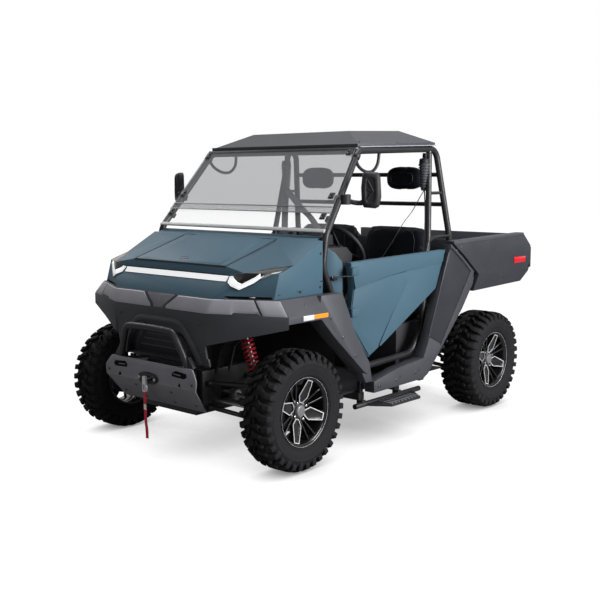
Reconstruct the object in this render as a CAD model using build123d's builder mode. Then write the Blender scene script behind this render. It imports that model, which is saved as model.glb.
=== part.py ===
"""Two-seat side by side utility vehicle: +X is its left, -Y its front, +Z up, millimetres.

The origin is on the ground under the middle of the bounding box.  A station is a distance
along the vehicle: front_y(s) is s behind the front axle and rear_y(s) is s behind the rear one.
"""
import os
from math import cos, radians, sin, tan

from build123d import *

os.makedirs("parts", exist_ok=True)

# ------------------------------------------------------------------ driving dimensions
WHEELBASE = 1948.0
FRONT_OVERHANG = 430.0      # front axle to the tip of the tow hook
REAR_OVERHANG = 562.0       # rear axle to the tailgate's skin
TYRE_R = 328.0              # to the tips of the lugs
RIM_SEAT_R = 178.0          # bead seat of a 14 inch rim
RIM_LIP_R = 187.5
SIDES = (1, -1)

FIT = 0.3                   # clearance of a seated or turning piece
GAP = 6.0                   # clear space round a lid, a door or the bed

FRONT_AXLE_Y = (FRONT_OVERHANG - WHEELBASE - REAR_OVERHANG) / 2
REAR_AXLE_Y = FRONT_AXLE_Y + WHEELBASE
HUB_Z = TYRE_R


def front_y(station):
    return FRONT_AXLE_Y + station


def rear_y(station):
    return REAR_AXLE_Y + station


# ------------------------------------------------------------------ building helpers
def block(x0, x1, y0, y1, z0, z1, mode=Mode.ADD):
    """A box between three pairs of planes."""
    with Locations(((x0 + x1) / 2, (y0 + y1) / 2, (z0 + z1) / 2)):
        Box(abs(x1 - x0), abs(y1 - y0), abs(z1 - z0), mode=mode)


def side_prism(outline, x0, x1, mode=Mode.ADD):
    """A side view outline of (y, z) points, standing between two planes across the vehicle."""
    with BuildSketch(Plane.YZ.offset(min(x0, x1))) as sketch:
        with BuildLine():
            Polyline(*outline, close=True)
        make_face()
    extrude(sketch.sketch, amount=abs(x1 - x0), mode=mode)


def plan_prism(outline, z0, z1, taper=0.0, mode=Mode.ADD):
    """A plan view outline of (x, y) points, standing from z0 to z1."""
    with BuildSketch(Plane.XY.offset(z0)) as sketch:
        with BuildLine():
            Polyline(*outline, close=True)
        make_face()
    extrude(sketch.sketch, amount=z1 - z0, taper=taper, mode=mode)


def end_prism(outline, y0, y1, mode=Mode.ADD):
    """A front view outline of (x, z) points, standing from y0 back to y1."""
    with BuildSketch(Plane((0, y0, 0), x_dir=(1, 0, 0), z_dir=(0, -1, 0))) as sketch:
        with BuildLine():
            Polyline(*outline, close=True)
        make_face()
    extrude(sketch.sketch, amount=-(y1 - y0), mode=mode)


def rod(start, end, radius, mode=Mode.ADD):
    """A round bar from one point to another."""
    way = Vector(*end) - Vector(*start)
    with BuildSketch(Plane(start, z_dir=way)) as sketch:
        Circle(radius)
    extrude(sketch.sketch, amount=way.length, mode=mode)


def bent_tube(points, radius, bends):
    """A round tube along straight runs joined by arcs of the given bend radii."""
    with BuildLine() as path:
        FilletPolyline(*points, radius=bends)
    with BuildSketch(Plane(path.line @ 0, z_dir=path.line % 0)) as section:
        Circle(radius)
    sweep(section.sketch, path=path.line)


# ------------------------------------------------------------------ wheels and axles
#        name      side  axle y        centre x  tyre half width  rim half width
WHEELS = [
    ("front_left", 1, FRONT_AXLE_Y, 717.0, 102.0, 88.0),
    ("front_right", -1, FRONT_AXLE_Y, 717.0, 102.0, 88.0),
    ("rear_left", 1, REAR_AXLE_Y, 711.0, 124.0, 106.0),
    ("rear_right", -1, REAR_AXLE_Y, 711.0, 124.0, 106.0),
]
FACETS = 14                 # flats round a tyre's casing
TREAD_BASE_R = 304.0        # between the lugs
TREAD_WALL = 16.0           # thickness under the lugs
TREAD_BEVEL = 31.0          # bevel from the tread to the sidewall
BEAD = 24.0                 # width of a tyre's bead
BEAD_STEP = 30.0            # sidewall's step round the rim's lip
LUG_PROUD = 3.0             # sidewall, in from the tyre's full width
LUG_W = 56.0                # along the tread
LUG_INNER = 8.0             # from the tyre's middle to the lug
BARREL = 6.0                # thickness of a rim's barrel
LIP = 5.0                   # width of a rim's lip
FACE_INSET = 30.0           # spoke face, in from the rim's outer lip
SPOKE_DEPTH = 18.0
SPOKES = 4
HUB_R = 62.0
SPINDLE_R = 26.0
CAP_R = 32.0

WINDOW_TURN = 26.0          # turn of the first window between two spokes
with BuildSketch() as window:
    with BuildLine():
        Polyline((72, -20), (100, -46), (140, -66), (156, 0), (140, 66), (100, 46), (72, 20), close=True)
    make_face()

for name, side, axle_y, centre_x, half, rim_half in WHEELS:
    axle = Plane((side * centre_x, axle_y, HUB_Z), x_dir=(0, 1, 0), z_dir=(side, 0, 0))
    seat = rim_half - LIP - FIT
    # a lug: (distance from the middle, radius)
    lug = [(LUG_INNER, TREAD_BASE_R - 20), (LUG_INNER, TYRE_R), (half - 36, TYRE_R), (half - 4, TREAD_BASE_R),
           (half - 4, TYRE_R - 60), (half - 34, TREAD_BASE_R - 20)]
    with BuildPart() as tyre:
        with BuildSketch(axle):
            RegularPolygon(TREAD_BASE_R, FACETS, rotation=180 / FACETS)
        extrude(amount=half - LUG_PROUD, both=True)
        chamfer(tyre.faces().filter_by(Axis.X).edges(), TREAD_BEVEL)
        for flank in SIDES:
            with BuildSketch(axle.offset(flank * seat)) as bead_recess:
                RegularPolygon(RIM_LIP_R + BEAD_STEP, FACETS, rotation=180 / FACETS)
            extrude(bead_recess.sketch, amount=flank * (half - seat), mode=Mode.SUBTRACT)
        with BuildSketch(axle) as void:
            RegularPolygon(TREAD_BASE_R - TREAD_WALL, FACETS, rotation=180 / FACETS)
        extrude(void.sketch, amount=seat - BEAD, both=True, mode=Mode.SUBTRACT)
        with BuildSketch(axle) as bore:
            RegularPolygon(RIM_SEAT_R + FIT, FACETS, major_radius=False, rotation=180 / FACETS)
        extrude(bore.sketch, amount=half, both=True, mode=Mode.SUBTRACT)
        for flank in SIDES:
            with BuildPart(mode=Mode.PRIVATE) as lug_block:
                with BuildSketch(Plane.XZ) as lug_side:
                    with BuildLine():
                        Polyline(*[(r, flank * d) for d, r in lug], close=True)
                    make_face()
                extrude(lug_side.sketch, amount=LUG_W / 2, both=True)
            first = 90 + (180 / FACETS if flank < 0 else 0)
            with Locations(axle):
                with PolarLocations(0, FACETS, start_angle=first):
                    add(lug_block.part)
    tyre.part.label = "tyre_" + name
    export_step(tyre.part, "parts/tyre_%s.step" % name)

    barrel = [
        (RIM_SEAT_R - BARREL, -rim_half),
        (RIM_LIP_R, -rim_half),
        (RIM_LIP_R, -rim_half + LIP),
        (RIM_SEAT_R, -rim_half + LIP),
        (RIM_SEAT_R, rim_half - LIP),
        (RIM_LIP_R, rim_half - LIP),
        (RIM_LIP_R, rim_half),
        (RIM_SEAT_R - BARREL, rim_half),
    ]
    face_x = rim_half - FACE_INSET
    with BuildPart() as rim:
        with BuildSketch(Plane(axle.origin, x_dir=(0, 1, 0), z_dir=(0, 0, 1))) as rim_section:
            with BuildLine():
                Polyline(*barrel, close=True)
            make_face()
        revolve(rim_section.sketch, axis=Axis(axle.origin, (1, 0, 0)))
        with BuildSketch(axle.offset(face_x - SPOKE_DEPTH)) as disc:
            Circle(RIM_SEAT_R - BARREL + 1)
            with PolarLocations(0, SPOKES, start_angle=side * WINDOW_TURN):
                add(window.sketch, mode=Mode.SUBTRACT)
        extrude(disc.sketch, amount=SPOKE_DEPTH)
        with BuildSketch(axle.offset(face_x - SPOKE_DEPTH - 34)) as hub:
            Circle(HUB_R)
        extrude(hub.sketch, amount=34)
        with BuildSketch(axle.offset(face_x)) as cap:
            Circle(CAP_R)
        extrude(cap.sketch, amount=8)
        with BuildSketch(axle.offset(face_x - SPOKE_DEPTH - 34)) as bore:
            Circle(SPINDLE_R + FIT)
        extrude(bore.sketch, amount=34 + SPOKE_DEPTH - 6, mode=Mode.SUBTRACT)
    rim.part.label = "rim_" + name
    export_step(rim.part, "parts/rim_%s.step" % name)


def hub_back(centre_x, rim_half):
    """Where the back of a rim's hub stands, across the vehicle."""
    return centre_x + rim_half - FACE_INSET - SPOKE_DEPTH - 34


FRONT_HUB_BACK = hub_back(717.0, 88.0)
REAR_HUB_BACK = hub_back(711.0, 106.0)
SPINDLE_REACH = 34 + SPOKE_DEPTH - 6 - 2

KINGPIN_X = 625.0
KNUCKLE_HALF = 25.0
KNUCKLE_LOW = HUB_Z - 78.0
KNUCKLE_TOP = HUB_Z + 78.0
BALL_PIN_R = 8.0
STEER_ARM = 110.0           # kingpin to the tie rod's pin, forward of the axle


RACK_Y = front_y(-STEER_ARM)
RACK_Z = HUB_Z - 40 + 18 + 6 + 14       # the rod's eye stands clear over the steering arm
RACK_R = 11.0


def upright(side, x, y, hub_back_x):
    """An upright with its spindle, standing at x and reaching out into the wheel's hub."""
    block(side * (x - KNUCKLE_HALF), side * (x + KNUCKLE_HALF), y - 34, y + 34, KNUCKLE_LOW, KNUCKLE_TOP)
    rod((side * x, y, HUB_Z), (side * (hub_back_x - 2), y, HUB_Z), 44)
    rod((side * x, y, HUB_Z), (side * (hub_back_x + SPINDLE_REACH), y, HUB_Z), SPINDLE_R)


for name, side in (("left", 1), ("right", -1)):
    with BuildPart() as knuckle:
        upright(side, KINGPIN_X, FRONT_AXLE_Y, FRONT_HUB_BACK)
        block(side * (KINGPIN_X - 20), side * (KINGPIN_X + 20), front_y(-STEER_ARM - 18), front_y(0),
              HUB_Z - 40, HUB_Z - 22)
        for z0, z1 in ((KNUCKLE_LOW, KNUCKLE_LOW + 20), (KNUCKLE_TOP - 20, KNUCKLE_TOP)):
            rod((side * KINGPIN_X, FRONT_AXLE_Y, z0), (side * KINGPIN_X, FRONT_AXLE_Y, z1),
                BALL_PIN_R + FIT, mode=Mode.SUBTRACT)
    knuckle.part.label = "knuckle_" + name
    export_step(knuckle.part, "parts/knuckle_%s.step" % name)

# ------------------------------------------------------------------ ladder frame
RAIL_X = 205.0
RAIL_W = 45.0
RAIL_LOW = 262.0
RAIL_TOP = 305.0
RAIL_OUT = RAIL_X + RAIL_W / 2
RAIL_IN = RAIL_X - RAIL_W / 2
SKID = 5.0
CLIP_TOP = 500.0            # top of the side plates that carry the suspension
CLIP_HALF = 200.0
PIVOT_X = RAIL_OUT + 15.0   # inner pivots of the arms
PIVOT_R = 14.0
LOW_PIVOT_Z = 292.0
TOP_PIVOT_Z = 430.0
HOOP_X = 675.0              # lower part of the roll cage's side hoops
TUBE_R = 20.0
BED_PIVOT_Y = rear_y(300)
BED_PIVOT_Z = 780.0
BED_PIVOT_R = 12.0
BED_FLOOR_Z = 880.0
OUTRIGGERS = (front_y(640), front_y(1000), front_y(1330))
SHOCK_TOP = (385.0, 762.0)  # x and z of a shock's upper eye
SHOCK_S = -46.0             # the shocks stand this far ahead of their axle
EYE_R = 16.0
CLEVIS_GAP = 92.0

with BuildPart() as main_frame:
    block(-RAIL_OUT, RAIL_OUT, front_y(-250), rear_y(260), RAIL_LOW, RAIL_LOW + SKID)
    for side in SIDES:
        block(side * RAIL_IN, side * RAIL_OUT, front_y(-250), rear_y(330), RAIL_LOW, RAIL_TOP)
        for axle_y in (FRONT_AXLE_Y, REAR_AXLE_Y):
            block(side * RAIL_IN, side * RAIL_OUT, axle_y - CLIP_HALF, axle_y + CLIP_HALF, RAIL_TOP, CLIP_TOP)
            block(side * (RAIL_IN - 1), side * (RAIL_OUT + 1), axle_y - 60, axle_y + 60, 322, 400,
                  mode=Mode.SUBTRACT)
            for cheek in (-1, 1):
                cheek_y = axle_y + SHOCK_S + cheek * (CLEVIS_GAP / 2 + 5)
                end_prism([(side * RAIL_IN, CLIP_TOP - 40), (side * RAIL_OUT, CLIP_TOP - 40),
                           (side * (RAIL_OUT + 50), 620), (side * (SHOCK_TOP[0] + 26), 730),
                           (side * (SHOCK_TOP[0] + 26), 790), (side * (SHOCK_TOP[0] - 26), 790),
                           (side * RAIL_IN, 690)], cheek_y - 5, cheek_y + 5)
        block(side * RAIL_IN, side * RAIL_OUT, BED_PIVOT_Y - 30, BED_PIVOT_Y + 30, RAIL_TOP, BED_PIVOT_Z + 30)
        for y in OUTRIGGERS:
            block(side * RAIL_OUT, side * (HOOP_X - TUBE_R - 8), y - 25, y + 25, RAIL_LOW, RAIL_TOP)
    for axle_y in (FRONT_AXLE_Y, REAR_AXLE_Y):
        cross_y = axle_y + SHOCK_S
        block(-SHOCK_TOP[0] - 26, SHOCK_TOP[0] + 26, cross_y - CLEVIS_GAP / 2 - 10,
              cross_y - CLEVIS_GAP / 2 - 34, 760, 784)
    block(-RAIL_IN, RAIL_IN, front_y(-250), front_y(-225), RAIL_LOW, 540)
    block(-RAIL_IN, RAIL_IN, BED_PIVOT_Y - 20, BED_PIVOT_Y + 20, 600, 640)
    block(-RAIL_IN, RAIL_IN, rear_y(-330), rear_y(-290), RAIL_LOW, RAIL_TOP)
    for side in SIDES:
        block(side * RAIL_IN, side * RAIL_OUT, rear_y(-330), rear_y(-290), RAIL_TOP, BED_FLOOR_Z - 40 - FIT)
        block(side * RAIL_IN, side * RAIL_OUT, rear_y(-330), rear_y(120), BED_FLOOR_Z - 80 - FIT,
              BED_FLOOR_Z - 40 - FIT)
        block(side * RAIL_OUT, side * 690, rear_y(-302), rear_y(-246),
              BED_FLOOR_Z - 86, BED_FLOOR_Z - 60 - FIT)
        block(side * RAIL_IN, side * RAIL_OUT, rear_y(80), rear_y(120), CLIP_TOP, BED_FLOOR_Z - 80)
    rod((-RAIL_OUT - 40, BED_PIVOT_Y, BED_PIVOT_Z), (RAIL_OUT + 40, BED_PIVOT_Y, BED_PIVOT_Z), BED_PIVOT_R)
    rod((-RAIL_OUT - 1, RACK_Y, RACK_Z), (RAIL_OUT + 1, RACK_Y, RACK_Z), RACK_R + FIT, mode=Mode.SUBTRACT)
main_frame.part.label = "main_frame"
export_step(main_frame.part, "parts/main_frame.step")

# ------------------------------------------------------------------ suspension
#        axle y        outer x   arms end in: eye of a ball joint or the rear upright
AXLES = [(FRONT_AXLE_Y, KINGPIN_X, "ball"), (REAR_AXLE_Y, 590.0, "upright")]
ARM_R = 13.0
ARM_SPREAD = 150.0
EYE_HALF = 22.0
EYE_DEPTH = 48.0
SHOCK_FOOT_X = 500.0

with BuildPart() as suspension_arms:
    for axle_y, outer_x, ending in AXLES:
        for side in SIDES:
            ends = ((KNUCKLE_LOW - FIT - EYE_DEPTH / 2, LOW_PIVOT_Z),
                    (KNUCKLE_TOP + FIT + EYE_DEPTH / 2, TOP_PIVOT_Z))
            for eye_z, pivot_z in ends:
                for way in (-1, 1):
                    rod((side * (outer_x - 8), axle_y + way * 10, eye_z),
                        (side * PIVOT_X, axle_y + way * ARM_SPREAD, pivot_z), ARM_R)
                    rod((side * PIVOT_X, axle_y + way * (ARM_SPREAD - 26), pivot_z),
                        (side * PIVOT_X, axle_y + way * (ARM_SPREAD + 26), pivot_z), PIVOT_R)
                block(side * (outer_x - EYE_HALF), side * (outer_x + EYE_HALF), axle_y - EYE_HALF,
                      axle_y + EYE_HALF, eye_z - EYE_DEPTH / 2, eye_z + EYE_DEPTH / 2)
                if ending == "ball":
                    up = 1 if eye_z < HUB_Z else -1
                    rod((side * outer_x, axle_y, eye_z),
                        (side * outer_x, axle_y, eye_z + up * (EYE_DEPTH / 2 + 18)), BALL_PIN_R)
            if ending == "upright":
                upright(side, outer_x, axle_y, REAR_HUB_BACK)
                for eye_z, pivot_z in ends:
                    rod((side * outer_x, axle_y, eye_z), (side * outer_x, axle_y, HUB_Z), BALL_PIN_R + 4)
            share = (outer_x - 8 - SHOCK_FOOT_X) / (outer_x - 8 - PIVOT_X)
            eye_z, pivot_z = ends[1]
            foot_z = eye_z + share * (pivot_z - eye_z) + ARM_R
            block(side * (SHOCK_FOOT_X - 22), side * (SHOCK_FOOT_X + 22), axle_y + SHOCK_S - 14,
                  axle_y + 50, foot_z - 16, foot_z + 4)
suspension_arms.part.label = "suspension_arms"
export_step(suspension_arms.part, "parts/suspension_arms.step")

SHOCK_BODY_R = 18.0
SPRING_R = 36.0
SPRING_WIRE = 10.0


def shock_line(axle_y, outer_x, side):
    """The two eyes of a shock, lower and upper."""
    share = (outer_x - 8 - SHOCK_FOOT_X) / (outer_x - 8 - PIVOT_X)
    eye_z = KNUCKLE_TOP + FIT + EYE_DEPTH / 2
    foot_z = eye_z + share * (TOP_PIVOT_Z - eye_z) + ARM_R + 4
    y = axle_y + SHOCK_S
    return Vector(side * SHOCK_FOOT_X, y, foot_z + EYE_R + FIT), Vector(side * SHOCK_TOP[0], y, SHOCK_TOP[1])


with BuildPart() as shock_bodies:
    for axle_y, outer_x, ending in AXLES:
        for side in SIDES:
            low, high = shock_line(axle_y, outer_x, side)
            way = (high - low).normalized()
            for eye in (low, high):
                rod(eye - Vector(0, CLEVIS_GAP / 2 - FIT, 0), eye + Vector(0, CLEVIS_GAP / 2 - FIT, 0), EYE_R)
            rod(low, high, SHOCK_BODY_R)
            for at in (42, (high - low).length - 42):
                rod(low + way * (at - 5), low + way * (at + 5), SPRING_R + 4)
shock_bodies.part.label = "shock_bodies"
export_step(shock_bodies.part, "parts/shock_bodies.step")

with BuildPart() as shock_springs:
    for axle_y, outer_x, ending in AXLES:
        for side in SIDES:
            low, high = shock_line(axle_y, outer_x, side)
            way = (high - low).normalized()
            start = low + way * (47 + FIT)
            end = high - way * (47 + FIT)
            rod(start, end, SPRING_R)
    for axle_y, outer_x, ending in AXLES:
        for side in SIDES:
            low, high = shock_line(axle_y, outer_x, side)
            rod(low, high, SPRING_R - SPRING_WIRE, mode=Mode.SUBTRACT)
shock_springs.part.label = "shock_springs"
export_step(shock_springs.part, "parts/shock_springs.step")

SHAFT_R = 13.0
with BuildPart() as drive_axles:
    block(-85, 85, front_y(-65), front_y(65), RAIL_LOW + SKID + FIT, 430)
    for side in SIDES:
        rod((side * 80, FRONT_AXLE_Y, 358), (side * 555, FRONT_AXLE_Y, HUB_Z + 4), SHAFT_R)
        rod((side * 500, FRONT_AXLE_Y, HUB_Z + 8), (side * 568, FRONT_AXLE_Y, HUB_Z + 4), 34)
        rod((side * 250, FRONT_AXLE_Y, 349), (side * 300, FRONT_AXLE_Y, 346), 30)
        rod((side * 171, REAR_AXLE_Y, 358), (side * 564, REAR_AXLE_Y, HUB_Z + 2), SHAFT_R)
        rod((side * 250, REAR_AXLE_Y, 352), (side * 300, REAR_AXLE_Y, 349), 30)
drive_axles.part.label = "drive_axles"
export_step(drive_axles.part, "parts/drive_axles.step")

with BuildPart() as drive_motor:
    block(-170, 170, rear_y(-150), rear_y(150), RAIL_LOW + SKID + FIT, 480)
    fillet(drive_motor.edges().filter_by(Axis.Y), 30)
drive_motor.part.label = "drive_motor"
export_step(drive_motor.part, "parts/drive_motor.step")

# ------------------------------------------------------------------ steering rack and tie rods
with BuildPart() as rack_bar:
    rod((-KINGPIN_X + 14, RACK_Y, RACK_Z), (KINGPIN_X - 14, RACK_Y, RACK_Z), RACK_R)
    for side in SIDES:
        rod((side * KINGPIN_X, RACK_Y, RACK_Z - 13), (side * KINGPIN_X, RACK_Y, RACK_Z + 13), 17)
rack_bar.part.label = "rack_bar"
export_step(rack_bar.part, "parts/rack_bar.step")

# ------------------------------------------------------------------ cab floor and seats
FLOOR_TOP = RAIL_TOP + 8.0
FLOOR_HALF = HOOP_X - TUBE_R - 8
FIREWALL_S = 430.0
SEAT_FRONT_S = 1130.0
SEAT_REAR_S = 1480.0
SEAT_BASE_TOP = 640.0
SEAT_HALF = 585.0
WALL = 6.0

with BuildPart() as cab_floor:
    block(-FLOOR_HALF, FLOOR_HALF, front_y(FIREWALL_S + 60), front_y(SEAT_REAR_S + 90), RAIL_TOP, FLOOR_TOP)
    side_prism([(front_y(FIREWALL_S + 60), RAIL_TOP), (front_y(FIREWALL_S), 420), (front_y(FIREWALL_S), 760),
                (front_y(FIREWALL_S + 8), 760), (front_y(FIREWALL_S + 8), 424),
                (front_y(FIREWALL_S + 66), FLOOR_TOP)], -FLOOR_HALF, FLOOR_HALF)
cab_floor.part.label = "cab_floor"
export_step(cab_floor.part, "parts/cab_floor.step")

with BuildPart() as seat_base:
    block(-SEAT_HALF, SEAT_HALF, front_y(SEAT_FRONT_S), front_y(SEAT_REAR_S), FLOOR_TOP, SEAT_BASE_TOP)
    block(-SEAT_HALF + WALL, SEAT_HALF - WALL, front_y(SEAT_FRONT_S) + WALL, front_y(SEAT_REAR_S) - WALL,
          FLOOR_TOP, SEAT_BASE_TOP - WALL, mode=Mode.SUBTRACT)
seat_base.part.label = "seat_base"
export_step(seat_base.part, "parts/seat_base.step")

with BuildPart() as battery_pack:
    block(-430, 430, front_y(SEAT_FRONT_S + 30), front_y(SEAT_REAR_S - 30), FLOOR_TOP, SEAT_BASE_TOP - 70)
battery_pack.part.label = "battery_pack"
export_step(battery_pack.part, "parts/battery_pack.step")

CUSHION_TOP = 790.0
with BuildPart() as seat_cushion:
    side_prism([(front_y(SEAT_FRONT_S - 50), SEAT_BASE_TOP + FIT),
                (front_y(SEAT_REAR_S + 10), SEAT_BASE_TOP + FIT),
                (front_y(SEAT_REAR_S + 60), CUSHION_TOP - 30),
                (front_y(SEAT_REAR_S - 60), CUSHION_TOP - 30),
                (front_y(SEAT_FRONT_S), CUSHION_TOP), (front_y(SEAT_FRONT_S - 60), CUSHION_TOP - 30)],
               -SEAT_HALF, SEAT_HALF)
seat_cushion.part.label = "seat_cushion"
export_step(seat_cushion.part, "parts/seat_cushion.step")

BACK_TOP = 1245.0
BACKREST = [(front_y(1440), CUSHION_TOP - 30 + FIT), (front_y(1540), CUSHION_TOP - 30 + FIT),
            (front_y(1572), 1170), (front_y(1556), BACK_TOP), (front_y(1520), BACK_TOP),
            (front_y(1490), 1180)]
with BuildPart() as seat_backs:
    for side in SIDES:
        side_prism(BACKREST, side * 25, side * 560)
seat_backs.part.label = "seat_backs"
export_step(seat_backs.part, "parts/seat_backs.step")

# ------------------------------------------------------------------ roll cage
#              x      station  z       bend
HOOP = [
    (660.0, 1674.0, BED_FLOOR_Z - 56, 0),
    (655.0, 1604.0, 1208.0, 400),
    (600.0, 1519.0, 1745.0, 70),
    (610.0, 689.0, 1715.0, 80),
    (HOOP_X + 8, 309.0, 1245.0, 120),
    (HOOP_X + 8, 284.0, 1070.0, 140),
    (HOOP_X, 459.0, 735.0, 200),
    (HOOP_X, 534.0, 450.0, 60),
    (HOOP_X, 844.0, 460.0, 0),
]
#              the lower tube runs on under the door and up the B pillar
PILLAR = [
    (HOOP_X, 844.0, 460.0, 0),
    (HOOP_X, 1154.0, 470.0, 120),
    (HOOP_X, 1274.0, 600.0, 160),
    (660.0, 1359.0, 1190.0, 300),
    (602.0, 1440.0, 1728.0, 0),
]
PILLAR_R = 19.0
HINGE_X = 765.0             # door hinge, outside the door's skin
HINGE_S = 447.0
HINGE_H = 44.0
PIN_R = 6.0
#          foot z of the barrel, station of the hoop beside it
HINGES = [(786.0, 428.0), (1018.0, 300.0)]

with BuildPart() as side_hoops:
    for side in SIDES:
        for run, radius in ((HOOP, TUBE_R), (PILLAR, PILLAR_R)):
            bent_tube([(side * x, front_y(s), z) for x, s, z, bend in run], radius,
                      [bend for x, s, z, bend in run[1:-1]])
        rod((side * 630, front_y(1420), 1463), (side * 628, front_y(1562), 1463), 10)
        for y in OUTRIGGERS[:2]:
            block(side * (HOOP_X - 12), side * (HOOP_X + 12), y - 15, y + 15, RAIL_LOW, 450)
            block(side * (HOOP_X - TUBE_R - 8), side * (HOOP_X + 12), y - 25, y + 25, RAIL_LOW, RAIL_TOP)
        for z, s in HINGES:
            plate = [(side * (HOOP_X - 6), front_y(s - 12)), (side * (HOOP_X - 6), front_y(s + 8)),
                     (side * (HINGE_X + 8), front_y(HINGE_S + 2)),
                     (side * (HINGE_X + 8), front_y(HINGE_S - 10))]
            plan_prism(plate, z - FIT - 5, z - FIT)
            rod((side * HINGE_X, front_y(HINGE_S), z - FIT),
                (side * HINGE_X, front_y(HINGE_S), z + HINGE_H), PIN_R)
side_hoops.part.label = "side_hoops"
export_step(side_hoops.part, "parts/side_hoops.step")

BAR_R = 14.0
#             station  z       half width   radius
CROSS_BARS = [
    (697.0, 1712.0, 612.0, 17.0),
    (1490.0, 1740.0, 600.0, 17.0),
    (1573.0, 1388.0, 640.0, BAR_R),
    (1545.0, 1580.0, 620.0, BAR_R),
]
with BuildPart() as cage_bars:
    for s, z, half, radius in CROSS_BARS:
        rod((-half, front_y(s), z), (half, front_y(s), z), radius)
    add(side_hoops.part, mode=Mode.SUBTRACT)
cage_bars.part.label = "cage_bars"
export_step(cage_bars.part, "parts/cage_bars.step")

HEAD_X = 375.0
HEAD_Z = 1557.0
with BuildPart() as headrests:
    for side in SIDES:
        block(side * (HEAD_X - 145), side * (HEAD_X + 145), front_y(1462), front_y(1545) - BAR_R - FIT,
              HEAD_Z - 84, HEAD_Z + 84)
    fillet(headrests.edges().filter_by(Axis.Y), 40)
headrests.part.label = "headrests"
export_step(headrests.part, "parts/headrests.step")

# ------------------------------------------------------------------ roof and windshield
TOP_FRONT = Vector(0, front_y(689), 1715)
TOP_REAR = Vector(0, front_y(1519), 1745)
roof_way = (TOP_REAR - TOP_FRONT).normalized()
roof_normal = Vector(0, -roof_way.Z, roof_way.Y)
roof_plane = Plane(TOP_FRONT + roof_normal * (TUBE_R + FIT), x_dir=(1, 0, 0), z_dir=roof_normal)
ROOF_HALF = 622.0
ROOF_LENGTH = 850.0
ROOF_EDGE = 20.0
ROOF_RISE = 100.0

with BuildPart() as roof_panel:
    with BuildSketch(roof_plane) as edge:
        with BuildLine():
            Polyline((-ROOF_HALF + 14, 0), (ROOF_HALF - 14, 0), (ROOF_HALF, ROOF_LENGTH - 60),
                     (ROOF_HALF - 60, ROOF_LENGTH), (-ROOF_HALF + 60, ROOF_LENGTH),
                     (-ROOF_HALF, ROOF_LENGTH - 60), close=True)
        make_face()
    extrude(edge.sketch, amount=ROOF_EDGE)
    with BuildSketch(roof_plane.offset(ROOF_EDGE)) as low:
        with Locations((0, ROOF_LENGTH / 2)):
            Rectangle(2 * ROOF_HALF - 60, ROOF_LENGTH - 40)
    with BuildSketch(roof_plane.offset(ROOF_RISE)) as high:
        with Locations((0, ROOF_LENGTH / 2 + 20)):
            Rectangle(800, ROOF_LENGTH - 330)
    loft([low.sketch.faces()[0], high.sketch.faces()[0]], ruled=True)
    with BuildSketch(roof_plane) as low_void:
        with Locations((0, ROOF_LENGTH / 2)):
            Rectangle(2 * ROOF_HALF - 130, ROOF_LENGTH - 110)
    with BuildSketch(roof_plane.offset(ROOF_RISE - 15)) as high_void:
        with Locations((0, ROOF_LENGTH / 2 + 20)):
            Rectangle(770, ROOF_LENGTH - 360)
    loft([low_void.sketch.faces()[0], high_void.sketch.faces()[0]], ruled=True, mode=Mode.SUBTRACT)
roof_panel.part.label = "roof_panel"
export_step(roof_panel.part, "parts/roof_panel.step")

GLASS = 5.0
SCREEN_FOOT = Vector(0, front_y(309), 1245)
screen_way = (TOP_FRONT - SCREEN_FOOT).normalized()
screen_normal = Vector(0, -screen_way.Z, screen_way.Y)
screen_plane = Plane(SCREEN_FOOT + screen_normal * (TUBE_R + FIT), x_dir=(1, 0, 0), z_dir=screen_normal)
#               distance up the screen, half width
with BuildPart() as windshield:
    for lift, low, low_half, high, high_half in ((0, 14, 682, 172, 662), (GLASS + FIT, 130, 667, 590, 612)):
        with BuildSketch(screen_plane.offset(lift)) as pane:
            with BuildLine():
                Polyline((-low_half, low), (low_half, low), (high_half, high), (-high_half, high), close=True)
            make_face()
        extrude(pane.sketch, amount=GLASS)
windshield.part.label = "windshield"
export_step(windshield.part, "parts/windshield.step")

MIRROR = (802.0, 562.0, 1497.0)
with BuildPart() as mirrors:
    for side in SIDES:
        x, s, z = side * MIRROR[0], MIRROR[1], MIRROR[2]
        block(x - 56, x + 56, front_y(s - 30), front_y(s + 30), z - 95, z + 95)
    fillet(mirrors.edges().filter_by(Axis.Y), 25)
    for side in SIDES:
        rod((side * 752, front_y(562), 1440), (side * 665, front_y(485), 1440), 9)
    add(side_hoops.part, mode=Mode.SUBTRACT)
mirrors.part.label = "mirrors"
export_step(mirrors.part, "parts/mirrors.step")

# ------------------------------------------------------------------ painted front body and hood lid
SHELL = 12.0
NOSE_HALF = 702.0
COWL_IN = NOSE_HALF - 66.0      # inner face of the cowl's side plates
COWL_PLATE = 14.0
FENDER_GAP = 47.0               # the nose's side, open behind the wheel arch
LID_FRONT = (377.0, -161.0, 1091.0)
LID_REAR = (380.0, 237.0, 1214.0)
#            station  z: nose, hood and cowl, seen from the side
NOSE = [(-284.0, 930.0), (-189.0, 1030.0), LID_FRONT[1:], LID_REAR[1:], (318.0, 1240.0), (318.0, 930.0)]
SHOULDER = Plane((LID_FRONT[0], front_y(LID_FRONT[1]), LID_FRONT[2]), z_dir=(0.149, -0.286, 0.946))
CREST = Plane((LID_REAR[0], front_y(LID_REAR[1]), LID_REAR[2] + 2), z_dir=(0.029, -0.4645, 0.885))
CORNER = Plane((398, front_y(-284), 930), z_dir=(0.44, -0.86, 0.25))


def sided(plane, side):
    """A plane of the left side, or its mirror image on the right."""
    point, normal = plane.origin, plane.z_dir
    return Plane(Vector(side * point.X, point.Y, point.Z), z_dir=Vector(side * normal.X, normal.Y, normal.Z))


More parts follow.
